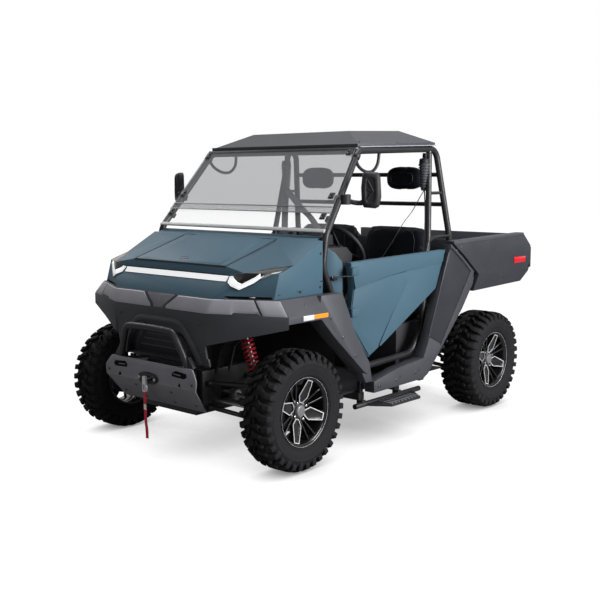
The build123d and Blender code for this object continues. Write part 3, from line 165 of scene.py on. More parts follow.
# ------------------------------------------------------------------ materials
def finish(name, colour, rough, metal=0.0, spread=0.12, scale=8.0, grain=0.0, grain_scale=900.0,
        rough_spread=0.08, coat=0.0, sheen=0.0, specular=0.5, glow=0.0):
    """A procedural finish: mottled colour and roughness, with a fine grain or weave as bump."""
    look = bpy.data.materials.new(name)
    tree = node_tree(look)
    place = node(tree, "ShaderNodeTexCoord", {}).outputs["Object"]
    mottle = node(tree, "ShaderNodeTexNoise", {"Vector": place, "Scale": scale, "Detail": 5.0}).outputs[0]
    ramp = node(tree, "ShaderNodeValToRGB", {0: mottle})
    for element, position, gain in zip(ramp.color_ramp.elements, (0.3, 0.7), (1 - spread, 1 + spread)):
        element.position = position
        element.color = [min(1.0, c * gain) for c in colour] + [1]
    span = node(tree, "ShaderNodeMapRange", {"Value": mottle, "To Min": max(0.02, rough - rough_spread),
            "To Max": min(1.0, rough + rough_spread)})
    shader = node(tree, "ShaderNodeBsdfPrincipled", {
            "Base Color": ramp.outputs[0], "Roughness": span.outputs[0], "Metallic": metal,
            "Coat Weight": coat,
            "Coat Roughness": 0.12, "Sheen Weight": sheen, "Specular IOR Level": specular,
            "Emission Color": WHITE, "Emission Strength": glow})
    if grain:
        fine = node(tree, "ShaderNodeTexNoise", {"Vector": place, "Scale": grain_scale, "Detail": 2.0})
        bump = node(tree, "ShaderNodeBump", {"Height": fine.outputs[0], "Strength": grain, "Distance": 0.001})
        tree.links.new(bump.outputs[0], shader.inputs["Normal"])
    node(tree, "ShaderNodeOutputMaterial", {0: shader.outputs[0]})
    return look


def glass(name, tint, alpha):
    look = bpy.data.materials.new(name)
    tree = node_tree(look)
    haze = node(tree, "ShaderNodeTexNoise", {"Scale": 2.0})
    bump = node(tree, "ShaderNodeBump", {"Height": haze.outputs[0], "Strength": 0.02})
    shader = node(tree, "ShaderNodeBsdfPrincipled", {
            "Base Color": tint + (1,), "Roughness": 0.03, "Alpha": alpha, "Specular IOR Level": 0.5,
            "Normal": bump.outputs[0]})
    node(tree, "ShaderNodeOutputMaterial", {0: shader.outputs[0]})
    return look


MOULDED = dict(spread=0.08, grain=0.22, grain_scale=1400.0)
LENS_FILM = dict(spread=0.05, scale=60.0, coat=0.8)
LOOKS = {
    "paint": finish("body_paint", (0.060, 0.119, 0.163), 0.45, spread=0.03, scale=3.0, grain=0.03,
        grain_scale=500.0, rough_spread=0.03, specular=0.16),
    "plastic": finish("black_plastic", (0.050, 0.052, 0.063), 0.52, **MOULDED),
    "side_plastic": finish("side_plastic", (0.044, 0.046, 0.056), 0.52, **MOULDED),
    "bed_plastic": finish("bed_plastic", (0.032, 0.034, 0.042), 0.5, **MOULDED),
    # a darker copy of the black plastic: painted shade in the quarter panels' recess
    "recess_shade_plastic": finish("recess_shade_plastic", (0.018, 0.019, 0.027), 0.5, **MOULDED),
    # a light grey copy of the black plastic: painted sheen on the bumper cover's panels and the roof's side
    # flange
    "plastic_painted_sheen": finish("plastic_with_painted_sheen", (0.37, 0.37, 0.41), 0.50, spread=0.06, grain=0.22,
        grain_scale=1400.0),
    "plate": finish("plate_coat", (0.19, 0.191, 0.215), 0.5, spread=0.08, grain=0.22, grain_scale=1300.0),
    "dark_plastic": finish("dark_plastic", (0.013, 0.013, 0.017), 0.6, grain=0.25, grain_scale=1200.0),
    # near black: painted shade inside holes, slots, vents and the tailgate's latch bay
    "hole_shade": finish("painted_hole_shade", (0.004, 0.004, 0.005), 0.85, spread=0.1, specular=0.1),
    "piping": finish("seat_piping", (0.035, 0.036, 0.045), 0.5, spread=0.1, scale=60.0, grain=0.3),
    # pale: a painted highlight along the windshield's foot
    "painted_highlight_band": finish("painted_highlight_band", (0.50, 0.50, 0.51), 0.35, spread=0.05, scale=12.0),
    "seam_grey": finish("screen_seam", (0.16, 0.16, 0.18), 0.4, spread=0.05, scale=12.0),
    "boot_grey": finish("belt_boot", (0.07, 0.072, 0.085), 0.6, spread=0.1, scale=30.0, grain=0.3),
    "dark_chrome": finish("dark_chrome", (0.10, 0.10, 0.12), 0.22, metal=0.6, spread=0.05, rough_spread=0.02),
    "tube": finish("tube_coat", (0.019, 0.019, 0.022), 0.40, spread=0.10, grain=0.12, grain_scale=1100.0),
    "frame": finish("frame_coat", (0.022, 0.022, 0.024), 0.5, spread=0.15, grain=0.15),
    "rubber": finish("tyre_rubber", (0.009, 0.009, 0.0105), 0.78, specular=0.3, spread=0.18, scale=22.0,
        grain=0.22, grain_scale=500.0),
    "rim": finish("rim_paint", (0.012, 0.012, 0.013), 0.25, metal=0.3, spread=0.1, coat=0.5),
    "machined": finish("machined_edge", (0.80, 0.80, 0.82), 0.30, metal=0.45, spread=0.06, scale=30.0),
    "cap": finish("hub_cap", (0.22, 0.22, 0.23), 0.4, metal=0.4, spread=0.08),
    "vinyl": finish("seat_vinyl", (0.007, 0.008, 0.014), 0.55, spread=0.15, scale=14.0, grain=0.35,
        grain_scale=420.0, specular=0.25),
    "webbing": finish("belt_webbing", (0.10, 0.10, 0.11), 0.8, scale=40.0, grain=0.5, grain_scale=700.0,
        sheen=0.2),
    "steel": finish("zinc_steel", (0.55, 0.55, 0.56), 0.32, metal=1.0, spread=0.10, scale=18.0),
    "bolt": finish("bolt_zinc", (0.10, 0.10, 0.105), 0.38, metal=0.7, scale=60.0),
    "cast": finish("cast_iron", (0.035, 0.035, 0.038), 0.6, metal=0.3, spread=0.18, scale=20.0, grain=0.4,
        grain_scale=260.0),
    "alloy": finish("cast_alloy", (0.38, 0.38, 0.40), 0.45, metal=0.85, spread=0.10, scale=16.0, grain=0.2,
        grain_scale=300.0),
    "shock": finish("shock_metal", (0.09, 0.09, 0.10), 0.35, metal=0.8, spread=0.1, scale=16.0),
    "spring": finish("spring_red", (0.27, 0.006, 0.009), 0.32, spread=0.08, scale=20.0, coat=0.4),
    "strap": finish("strap_red", (0.62, 0.006, 0.035), 0.75, spread=0.15, scale=60.0, grain=0.6,
        grain_scale=500.0, sheen=0.2),
    "patch": finish("strap_stitching", (0.80, 0.79, 0.76), 0.8, spread=0.1, scale=90.0, grain=0.5,
        grain_scale=600.0),
    "white_lens": finish("white_diffuser", (0.86, 0.88, 0.90), 0.2, spread=0.02, coat=0.6, glow=0.42),
    "smoked": finish("smoked_lens", (0.006, 0.006, 0.008), 0.08, spread=0.05, coat=1.0, rough_spread=0.02),
    "chrome": finish("reflector_chrome", (0.75, 0.76, 0.78), 0.08, metal=1.0, spread=0.03, rough_spread=0.02),
    "amber": finish("reflector_amber", (0.90, 0.32, 0.01), 0.2, **LENS_FILM),
    "red": finish("reflector_red", (0.65, 0.008, 0.015), 0.2, **LENS_FILM),
    "pearl": finish("reflector_white", (0.72, 0.72, 0.72), 0.25, **LENS_FILM),
    "glass_tint": glass("screen_tint", (0.30, 0.31, 0.33), 0.38),
    "glass_clear": glass("screen_clear", (0.75, 0.77, 0.78), 0.10),
}
PLAIN_SLOT = "black_plastic"


# ------------------------------------------------------------------ shape helpers
SHARP_EDGE = math.radians(32)


def smooth_group():
    """A node group that shades smooth and keeps sharp edges sharp."""
    group = bpy.data.node_groups.new("smooth_by_angle", "GeometryNodeTree")
    for way in ("INPUT", "OUTPUT"):
        group.interface.new_socket("Geometry", in_out=way, socket_type="NodeSocketGeometry")
    first = node(group, "NodeGroupInput", {})
    angle = node(group, "GeometryNodeInputMeshEdgeAngle", {})
    test = node(group, "FunctionNodeCompare", {0: angle.outputs["Unsigned Angle"], 1: SHARP_EDGE},
        operation="GREATER_THAN")
    faces = node(group, "GeometryNodeSetShadeSmooth", {"Geometry": first.outputs[0]}, domain="FACE")
    edges = node(group, "GeometryNodeSetShadeSmooth",
        {"Geometry": faces.outputs[0], "Selection": test.outputs[0], "Shade Smooth": False}, domain="EDGE")
    node(group, "NodeGroupOutput", {0: edges.outputs[0]})
    return group


SMOOTH = smooth_group()


def soften(obj, width, angle=28):
    """Rounds the sharp edges of a piece and shades it smooth."""
    if width:
        bevel = obj.modifiers.new("bevel", "BEVEL")
        bevel.width = width * MM
        bevel.segments = 2
        bevel.limit_method = "ANGLE"
        bevel.angle_limit = math.radians(angle)
    nodes = obj.modifiers.new("smooth", "NODES")
    nodes.node_group = SMOOTH


def turns(count):
    """Angles that share a full turn."""
    return [2 * math.pi * k / count for k in range(count)]


def path_ways(points):
    """Each point of a path, with the path's direction there."""
    for i, here in enumerate(points):
        before = points[i - 1] if i else here
        after = points[i + 1] if i < len(points) - 1 else here
        yield here, (after - before).normalized()


class Shape:
    """Points and faces in millimetres, gathered into one piece."""

    def __init__(self):
        self.points = []
        self.faces = []

    def rows(self, rows, closed=False, capped=False):
        """Joins rows of as many points each by quads; closed rows run round, capped ones have end faces."""
        start, count = len(self.points), len(rows[0])
        faces = []
        for r in range(len(rows) - 1):
            for c in range(count if closed else count - 1):
                d = (c + 1) % count
                faces.append((r * count + c, r * count + d, (r + 1) * count + d, (r + 1) * count + c))
        if capped:
            faces.append(tuple(reversed(range(count))))
            faces.append(tuple((len(rows) - 1) * count + c for c in range(count)))
        self.points += [Vector(p) for row in rows for p in row]
        self.faces += [tuple(start + i for i in face) for face in faces]

    def solid(self, rows):
        self.rows(rows, closed=True, capped=True)

    def slab(self, place, outline, *lifts):
        """A plate between lifts over a surface, which place(a, b, lift) describes."""
        self.solid([[place(a, b, lift) for a, b in outline] for lift in lifts])

    def prism(self, outline, way):
        """An outline of 3-D points, thick along a vector."""
        self.solid([[Vector(p) for p in outline], [Vector(p) + Vector(way) for p in outline]])

    def block(self, low, high):
        (x0, y0, z0), (x1, y1, z1) = low, high
        self.prism([(x0, y0, z0), (x0, y1, z0), (x1, y1, z0), (x1, y0, z0)], (0, 0, z1 - z0))

    def tube(self, points, radius, sides=12):
        """A round tube along points, with one radius or a list of one for each point."""
        points = [Vector(p) for p in points]
        radii = radius if isinstance(radius, list) else [radius] * len(points)
        rings = []
        side = None
        for (here, way), radius in zip(path_ways(points), radii):
            if side is None:
                side = way.orthogonal().normalized()
            else:
                side = (side - way * way.dot(side)).normalized()
            other = way.cross(side)
            rings.append([here + (side * math.cos(a) + other * math.sin(a)) * radius for a in turns(sides)])
        self.solid(rings)

    def band(self, points, wide, thick, up):
        """A flat band along points, with half sizes and the direction of its wide way."""
        up = Vector(up)
        rings = []
        for here, way in path_ways([Vector(p) for p in points]):
            side = (up - way * way.dot(up)).normalized()
            other = way.cross(side)
            rings.append([here + (side * (wide * a) + other * (thick * b)) for a, b in
                    ((1, -.6), (.96, -1), (-.96, -1), (-1, -.6), (-1, .6), (-.96, 1), (.96, 1), (1, .6))])
        self.solid(rings)

    def lathe(self, centre, axis, profile, sides=32, closed=False):
        """A profile of (radius, distance along the axis) points, turned round the axis."""
        centre, axis = Vector(centre), Vector(axis).normalized()
        first = Vector(Z_WAY) if abs(axis.z) < 0.9 else Vector(Y_WAY)
        first = (first - axis * first.dot(axis)).normalized()
        second = axis.cross(first)
        rows = [[centre + axis * along + (first * math.cos(a) + second * math.sin(a)) * radius
                for a in turns(sides)]
            for radius, along in profile + (profile[:1] if closed else [])]
        self.rows(rows, closed=True, capped=not closed)

    def mirrored(self):
        """The same shape on the vehicle's other side."""
        twin = Shape()
        twin.points = [Vector((-p.x, p.y, p.z)) for p in self.points]
        twin.faces = [tuple(reversed(face)) for face in self.faces]
        return twin

    def piece(self, name, look, width=0.0, body="chassis", slot="", replaces=(), angle=28):
        """The finished piece, with its edges over an angle in degrees rounded by a width."""
        mesh = bpy.data.meshes.new(name)
        mesh.from_pydata([p * MM for p in self.points], [], self.faces)
        mesh.validate()
        fix = bmesh.new()
        fix.from_mesh(mesh)
        bmesh.ops.recalc_face_normals(fix, faces=fix.faces)
        fix.to_mesh(mesh)
        fix.free()
        obj = linked(name, mesh)
        mesh.materials.append(LOOKS[look])
        soften(obj, width, angle)
        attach(obj, body)
        if replaces:
            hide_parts(*replaces)
        return obj

    def pair(self, name, look, width=0.0, body="chassis", slot="", replaces=(), angle=28):
        """The piece and its mirror image; * in the name of a body or of a node stands for the side."""
        for side, form in zip(SIDES, (self, self.mirrored())):
            word = SIDE_NAMES[side]
            form.piece("%s_%s" % (name, word), look, width, body.replace("*", word), slot,
                [node_name.replace("*", word) for node_name in replaces], angle)


def dress(node_name, look, width):
    """Gives a CAD node its finish, with welded, rounded and smooth edges."""
    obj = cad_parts[node_name]
    obj.data.materials.clear()
    obj.data.materials.append(LOOKS[look])
    if "custom_normal" in obj.data.attributes:
        obj.data.attributes.remove(obj.data.attributes["custom_normal"])
    weld = obj.modifiers.new("weld", "WELD")
    weld.merge_threshold = 2e-5
    flat = obj.modifiers.new("flat", "DECIMATE")
    flat.decimate_type = "DISSOLVE"
    flat.angle_limit = math.radians(0.6)
    soften(obj, width)


#     look, rounding of the edges in mm, and the CAD nodes that have them
CAD_LOOKS = [
    ("paint", 4, ["front_body"]), ("paint", 3, ["hood_lid", "door_left", "door_right"]),
    ("plastic", 4, ["bumper_cover", "tailgate"]), ("plastic", 3, ["roof_panel"]),
    ("side_plastic", 5, ["side_mouldings"]), ("bed_plastic", 3, ["cargo_bed"]),
    ("dark_plastic", 4, ["dashboard", "seat_base", "mirrors"]),
    ("dark_plastic", 2, ["cab_floor", "steering_wheel"]),
    ("tube", 1.5, ["side_hoops"]), ("tube", 0, ["cage_bars", "bull_bar"]), ("tube", 2, ["side_steps"]),
    ("frame", 2, ["main_frame", "hitch_receiver"]), ("frame", 1.5, ["suspension_arms", "winch"]),
    ("plate", 2, ["winch_plate"]), ("machined", 1.5, ["tow_hook"]), ("steel", 1.5, ["drive_axles"]),
    ("steel", 1, ["rack_bar"]), ("alloy", 3, ["drive_motor"]), ("shock", 1, ["shock_bodies"]),
    ("cast", 3, ["battery_pack"]), ("cast", 2, ["knuckle_left", "knuckle_right"]),
    ("white_lens", 1, ["light_bar"]), ("smoked", 1, ["headlamps"]),
    ("red", 1, ["tail_lamps"]), ("amber", 1, ["marker_lamps"]),
    ("glass_tint", 0, ["windshield"]), ("vinyl", 10, ["seat_cushion", "seat_backs", "headrests"]),
    ("spring", 1, ["shock_springs"]), ("strap", 0, ["winch_strap"]),
    ("rubber", 2, ["tyre_%s_%s" % (end, side) for end in ("front", "rear") for side in ("left", "right")]),
    ("rim", 1, ["rim_%s_%s" % (end, side) for end in ("front", "rear") for side in ("left", "right")]),
]
for look, width, node_names in CAD_LOOKS:
    for node_name in node_names:
        dress(node_name, look, width)

# ------------------------------------------------------------------ wheels
#          end     axle y      centre x  tyre half width  rim half width  the caliper's holder
WHEELS = [("front", FRONT_AXLE, 717.0, 102.0, 88.0, "knuckle_*"),
    ("rear", REAR_AXLE, 711.0, 124.0, 106.0, "chassis")]
TYRE_R = 328.0
BASE_R = TYRE_R - 22
PITCHES = 17
PITCH = 2 * math.pi / PITCHES
#        a lug's middle line (share of the half width, turn in pitches), its width at each point, and how far
#        it reaches down the side
LUGS = [
    ([(0.02, 0.00), (0.20, 0.05), (0.40, 0.15), (0.55, 0.28)], (27, 26, 26, 29), None),
    ([(0.55, 0.27), (0.70, 0.31), (0.86, 0.32)], (28, 31, 31), 266.0),
    ([(0.33, 0.62), (0.44, 0.72), (0.54, 0.82)], (23, 25, 25), None),
    ([(0.63, 0.79), (0.76, 0.81), (0.88, 0.82)], (28, 31, 31), 280.0),
    ([(0.14, 0.43), (0.25, 0.50)], (23, 22), None),
]


def spot(centre_x, axle_y, radius, angle, along):
    """A point of a left wheel, the angle counted from the rear upwards as seen from outside."""
    return Vector((centre_x + along, axle_y + radius * math.cos(angle), HUB_Z + radius * math.sin(angle)))


def moved(profile, along):
    """A profile of (radius, distance) points, moved along the axis."""
    return [(radius, along + distance) for radius, distance in profile]


def casing_shape(axle_y, centre_x, half, rim_half):
    """The tyre's carcass, with its bead, sidewall ridges and the floor between the lugs."""
    casing = Shape()
    #     from the bead outwards to the tread, and back inside
    outer = moved([(179, -26), (179, -6), (191, -5.4), (196, -2), (199, 1.5), (203, 1), (206, 4), (209, 4)],
        rim_half)
    outer += moved([(224, -5), (240, -2.4), (256, -2.2), (259, -1), (262, -2.4), (278, -6), (292, -15),
            (301, -30), (BASE_R, -52)], half) + [(BASE_R + 2, half * 0.2)]
    inner = moved([(BASE_R - 14, -60), (270, -18), (235, -14)], half) + [(200, rim_half - 18)]
    ring = outer + [(r, -d) for r, d in reversed(outer)] + [(r, -d) for r, d in inner[::-1]] + inner
    rows = [[spot(centre_x, axle_y, r, angle, d) for r, d in ring] for angle in turns(120)]
    casing.rows(rows + rows[:1], closed=True)
    return casing


def lug_rows(path, widths, reach, half):
    """Cross sections of a lug: top and foot as (radius, place across), turn in pitches and width."""
    rows = []
    for (share, turn), width in zip(path, widths):
        d = share * half
        top = (TYRE_R - 4.0 * share ** 2 - max(0.0, d - (half - 34)) * 0.55, d)
        foot = (BASE_R - 6 - max(0.0, d - (half - 44)) * 0.6, d)
        rows.append((top, foot, turn, width))
    if reach:
        rows.append(((TYRE_R - 17, half - 4), (TYRE_R - 48, half - 16), turn, width))
        rows.append(((TYRE_R - 38, half - 0.6), (TYRE_R - 60, half - 9), turn + 0.01, width - 2))
        rows.append(((reach, half - 1.6), (reach - 4, half - 8), turn + 0.02, width - 7))
    return rows


def lugs_shape(axle_y, centre_x, half):
    """The tread's lugs, half a pitch apart on the two sides."""
    lugs = Shape()
    starts = [(side, step * PITCH + (0.5 * PITCH if side < 0 else 0.0))
        for side in SIDES for step in range(PITCHES)]
    for side, start in starts:
        for path, widths, reach in LUGS:
            lines = []
            for top, foot, turn, width in lug_rows(path, widths, reach, half):
                line = []
                for (radius, along), spread, way in ((foot, 7, -1), (top, 0, -1), (top, 0, 1), (foot, 7, 1)):
                    angle = start + turn * PITCH + way * (width + spread) / 2 / TYRE_R
                    line.append(spot(centre_x, axle_y, radius, angle, side * along))
                lines.append(line)
            lugs.solid(lines)
    return lugs


SPOKE_TURNS = [math.radians(a) for a in (71, 161, 251, 341)]
COFFIN = [(43, -12), (43, 12), (76, 35), (82, 35), (171, 21), (171, -21), (82, -35), (76, -35)]
ARM_SECTION = [(-5, -26), (-5, -9), (-3, -7), (3, -7), (5, -9), (5, -26)]


def drawn_in(outline, by):
    """A convex outline drawn in by a distance."""
    count = len(outline)
    middle = Vector((sum(p[0] for p in outline) / count, sum(p[1] for p in outline) / count))
    lines = []
    for i in range(count):
        a, b = Vector(outline[i]), Vector(outline[(i + 1) % count])
        normal = Vector((a.y - b.y, b.x - a.x)).normalized()
        if normal.dot(middle - a) < 0:
            normal = -normal
        lines.append((a + normal * by, (b - a).normalized()))
    drawn = []
    for i in range(count):
        (p, u), (q, v) = lines[i - 1], lines[i]
        cross = u.x * v.y - u.y * v.x
        t = ((q.x - p.x) * v.y - (q.y - p.y) * v.x) / cross
        drawn.append((p.x + u.x * t, p.y + u.y * t))
    return drawn


def rim_shapes(axle_y, centre_x, rim_half):
    """The painted rim, its machined edges, its nuts and its cap."""
    body, bright, nuts, cap = Shape(), Shape(), Shape(), Shape()
    hub = (centre_x, axle_y, HUB_Z)

    def at(u, v, turn, lift):
        """A point over the dished face, along and across a spoke."""
        dish = rim_half - 46 + 34 * (u - 43) / 128
        return spot(centre_x, axle_y, math.hypot(u, v), turn + math.atan2(v, u), dish + lift)

    wall = (moved([(187.4, -0.4), (187.4, -5), (178, -6)], rim_half)
        + moved([(178, 6), (187.4, 5), (187.4, 0), (170, 0)], -rim_half) + [(158, -20), (166, 30)]
        + moved([(170, -22), (173, -12), (176, -8), (181, -6), (183.5, -1.5)], rim_half))
    lip = moved([(187.3, -0.5), (187.2, 0), (186.3, 0), (186.0, -0.8)], rim_half)
    body.lathe(hub, X_WAY, wall, 96, closed=True)
    bright.lathe(hub, X_WAY, lip, 96, closed=True)
    body.lathe(hub, X_WAY, moved([(48, -78), (56, -64), (50, -52), (38, -48)], rim_half), 48)
    edge, low = drawn_in(COFFIN, 5.0), drawn_in(COFFIN, 7.0)
    for turn in SPOKE_TURNS:
        body.solid([[at(u, v, turn, lift) for u, v in outline] for outline, lift in
                ((COFFIN, -26), (COFFIN, -0.6), (edge, -0.6), (low, -7))])
        bright.rows([[at(u, v, turn, lift) for u, v in outline] for outline, lift in
                ((COFFIN, -2.4), (COFFIN, 0.4), (edge, 0.4), (edge, -2.4), (COFFIN, -2.4))], closed=True)
        for way in (-1, 1):
            arm = turn + math.radians(45 + way * 9)
            body.solid([[at(u, v, arm, lift) for v, lift in ARM_SECTION] for u in (40, 90, 130, 172)])
        foot = spot(centre_x, axle_y, 51, turn + math.radians(45), rim_half - 50)
        body.lathe(foot, X_WAY, [(17, -20), (17, 0), (12, 2)], 24)
        nuts.lathe(foot, X_WAY, [(10, 0), (10, 4), (8.5, 5), (8.5, 16), (6.5, 19)], 6)
    cap.lathe(hub, X_WAY, moved([(34, -58), (33, -34), (31, -30), (26, -28), (14, -27.4)], rim_half), 48)
    return body, bright, nuts, cap


def brake_shapes(axle_y, centre_x, rim_half):
    """The brake's disc and its caliper, a block between two points of the wheel."""
    disc, caliper = Shape(), Shape()
    disc.lathe((centre_x, axle_y, HUB_Z), X_WAY,
        moved([(44, -92), (118, -92), (118, -87), (44, -87)], rim_half), 64, closed=True)
    corners = spot(centre_x, axle_y, 84, 0.5, rim_half - 106), spot(centre_x, axle_y, 138, 1.1, rim_half - 72)
    caliper.block(*[[bound(p[i] for p in corners) for i in range(3)] for bound in (min, max)])
    return disc, caliper


for end, axle_y, centre_x, half, rim_half, holder in WHEELS:
    wheel, tyre, rim = "wheel_%s_*" % end, ["tyre_%s_*" % end], ["rim_%s_*" % end]
    casing_shape(axle_y, centre_x, half, rim_half).pair("casing_" + end, "rubber", body=wheel, replaces=tyre)
    lugs_shape(axle_y, centre_x, half).pair("lugs_" + end, "rubber", 2.2, wheel, replaces=tyre, angle=35)
    body, bright, nuts, cap = rim_shapes(axle_y, centre_x, rim_half)
    body.pair("rim_face_" + end, "rim", 1.5, wheel, replaces=rim)
    bright.pair("rim_edge_" + end, "machined", body=wheel)
    nuts.pair("wheel_nuts_" + end, "chrome", 0.8, wheel)
    cap.pair("hub_cap_" + end, "cap", 1, wheel)
    disc, caliper = brake_shapes(axle_y, centre_x, rim_half)
    disc.pair("brake_disc_" + end, "shock", 0.5, wheel)
    caliper.pair("brake_caliper_" + end, "cast", 6, holder)


# ------------------------------------------------------------------ suspension springs
COIL_R, COIL_WIRE, COIL_TURNS = 30.69, 7.5, 8.5
STEPS_A_TURN = 20
SLEEVE_R = 36.0
#     from a shock's lower eye to its upper one: inwards and up
SHOCK_LEAN = math.atan2(385.0 - 500.0, 762.0 - 455.0)


def spring_solids():
    """The side of each of the four spring sleeves, and its points."""
    points = [v.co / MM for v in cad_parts["shock_springs"].data.vertices]
    return [(side, [p for p in points if p.x * side > 0 and (p.y < 0) == front])
        for side in SIDES for front in (True, False)]


coils = Shape()
for side, points in spring_solids():
    low, high = [Vector([bound(p[i] for p in points) for i in range(3)]) for bound in (min, max)]
    way = Vector((side * math.sin(SHOCK_LEAN), 0, math.cos(SHOCK_LEAN)))
    across = Vector(Y_WAY)
    other = way.cross(across)
    reach = (high.z - low.z - 2 * SLEEVE_R * abs(way.x)) / way.z / 2 - COIL_WIRE
    steps = int(COIL_TURNS * STEPS_A_TURN)
    path = []
    for k in range(steps + 1):
        share = k / steps
        angle = 2 * math.pi * COIL_TURNS * share
        path.append((low + high) / 2 + way * reach * (2 * share - 1)
            + (across * math.cos(angle) + other * math.sin(angle)) * COIL_R)
    coils.tube(path, COIL_WIRE, 8)
coils.piece("spring_coils", "spring", replaces=["shock_springs"])

# ------------------------------------------------------------------ nose, hood and lamps
NOSE = [(-284.0, 930.0), (-189.0, 1030.0), (-161.0, 1091.0), (237.0, 1214.0), (318.0, 1240.0)]
#        a facet of the left side: a point (x, station, z) and its normal
NOSE_FACETS = [((398.0, -284.0, 930.0), (0.44, -0.86, 0.25)),
    ((377.0, -161.0, 1091.0), (0.149, -0.286, 0.946))]


def along_line(line, z):
    """The station of a side view's line (station, z) at a height."""
    return float(np.interp(z, [p[1] for p in line], [p[0] for p in line]))


def nose_y(x, z):
    """How far back the nose's skin is at a place seen from the front."""
    reach = [along_line(NOSE, z)]
    for (px, station, pz), (nx, ny, nz) in NOSE_FACETS:
        reach.append(station - (nx * (abs(x) - px) + nz * (z - pz)) / ny)
    return front_y(max(reach))


def drawn_out(line, steps=10):
    """A line with more points between its own."""
    points = []
    for a, b in zip(line, line[1:]):
        points += [tuple(p + (q - p) * k / steps for p, q in zip(a, b)) for k in range(steps)]
    return points + [line[-1]]


#     name, look, rounding, how proud of the skin, and the strip's outer and inner line (x, z)
NOSE_STRIPS = [
    ("day_light", "white_lens", 0.8, 7.5, [(431, 1041), (441, 1011), (525, 977), (590, 1014), (629, 1050)],
        [(457, 1044), (468, 1033), (533, 1008), (590, 1044), (627, 1078)]),
    ("lamp_wedge", "dark_chrome", 0.6, 2.6, [(472, 1034), (534, 1010), (590, 1047), (626, 1080)],
        [(500, 1036), (545, 1027), (592, 1058), (624, 1088)]),
    ("lamp_cover", "smoked", 0.8, 2.2, [(446, 1042), (550, 1068), (628, 1096)],
        [(470, 1036), (545, 1030), (626, 1088)]),
    ("lamp_seal", "dark_plastic", 0.6, 3.5, [(426, 1044), (436, 1007), (525, 971), (592, 1008), (630, 1045)],
        [(430, 1043), (440, 1011), (525, 977), (591, 1014), (629, 1050)]),
]
for name, look, width, proud, outer, inner in NOSE_STRIPS:
    strip = Shape()
    rows = []
    for (x0, z0), (x1, z1) in zip(drawn_out(outer), drawn_out(inner)):
        y0, y1, out = nose_y(x0, z0), nose_y(x1, z1), proud * 0.45
        rows.append([(x0, y0 + 2, z0), (x0 + out, y0 - proud, z0),
                (x1 + out, y1 - proud, z1), (x1, y1 + 2, z1)])
    strip.solid(rows)
    strip.pair(name, look, width, slot="lamp_lens" if look == "smoked" else "")

UP_THE_NOSE = (0, 0.4, 1)
seal, bar_seal = Shape(), Shape()
seal.band(ahead((-380, -164.5, 1087.5), (380, -164.5, 1087.5)), 3.5, 1.2, UP_THE_NOSE)
for side in SIDES:
    seal.band(ahead((side * 380, -161, 1091.5), (side * 383.5, 236, 1214.5)), 3.0, 1.0, X_WAY)
seal.piece("hood_seal", "dark_plastic")
bar_seal.band(ahead((-424, -185, 1045.5), (424, -185, 1045.5)), 3.2, 1.6, UP_THE_NOSE)
bar_seal.band(ahead((-424, -205, 1011.5), (424, -205, 1011.5)), 1.6, 1.2, UP_THE_NOSE)
bar_seal.piece("light_bar_seal", "dark_plastic")


def on_lid(x, station, lift):
    """A point over the hood lid's top, which rises 123 mm in 398."""
    rise = 123.0 / 398.0
    return (x, front_y(station) - lift * 0.295, 1091.0 + (station + 161.0) * rise + lift * 0.955)


plateau, grip, grip_edge = Shape(), Shape(), Shape()
foot = [(-330, -150), (330, -150), (300, 232), (-300, 232)]
crown = [(-296, -132), (296, -132), (268, 228), (-268, 228)]
plateau.solid([[on_lid(x, s, lift) for x, s in line]
        for line, lift in ((foot, -1), (foot, 0.3), (crown, 7))])
plateau.piece("hood_ridge", "paint", 1.5, "hood_lid")
GRIP_STATION = -112
inner_ring = [(34 * math.cos(a), 11 * math.sin(a) + GRIP_STATION) for a in turns(28)]
outer_ring = [(34 * math.cos(a) * 1.16, 11 * math.sin(a) * 1.25 + GRIP_STATION) for a in turns(28)]
grip.slab(on_lid, inner_ring, 6, 7.6)
grip.piece("hood_grip", "smoked", body="hood_lid")
grip_edge.rows([[on_lid(x, s, lift) for x, s in line] for line, lift in
        ((outer_ring, 6), (outer_ring, 8.6), (inner_ring, 8.6), (inner_ring, 7))], closed=True)
grip_edge.piece("hood_grip_edge", "paint", 0.6, "hood_lid")

clips = Shape()
for place in ahead((701, 76, 954), (701, 242, 967), (701, 245, 1150)):
    clips.lathe(place, X_WAY, [(8, 0), (8, 2.2), (5.5, 4.2), (2.5, 4.2), (2, 3)], 20)
clips.pair("nose_clips", "dark_plastic", 0.4)


# ------------------------------------------------------------------ bumper cover panels
#      x, station along the lip's top, and the same along the cover's top
LIP_LINE = [(0, -318), (377, -318), (600, -220), (812, -137)]
TOP_LINE = [(0, -290), (398, -290), (560, -208), (738, -118)]
LIP_Z, COVER_Z = 848.0, 929.0


def on_cover(along, up, lift):
    """A point of the cover's slope, along from 0 in the middle to 3 at the side and up from 0 to 1."""
    (x0, s0), (x1, s1) = [[np.interp(along, range(4), [p[i] for p in line]) for i in (0, 1)]
        for line in (LIP_LINE, TOP_LINE)]
    away = (0.0, -1.0) if along <= 1 else (0.40, -0.92)
    return (x0 + (x1 - x0) * up + away[0] * lift, front_y(s0 + (s1 - s0) * up) + away[1] * lift,
        LIP_Z + (COVER_Z - LIP_Z) * up + 0.3 * lift)


def cover_panel(shape, low_line, high_line, lift):
    """A raised panel between two lines (along, up) on the cover."""
    rows = []
    for low, high in zip(drawn_out(low_line, 6), drawn_out(high_line, 6)):
        edge = min(0.16, (high[1] - low[1]) / 3)
        rows.append([on_cover(*low, -3), on_cover(*low, 0.4), on_cover(low[0], low[1] + edge, lift),
                on_cover(high[0], high[1] - edge / 2, lift), on_cover(*high, 0.4), on_cover(*high, -3)])
    shape.solid(rows)


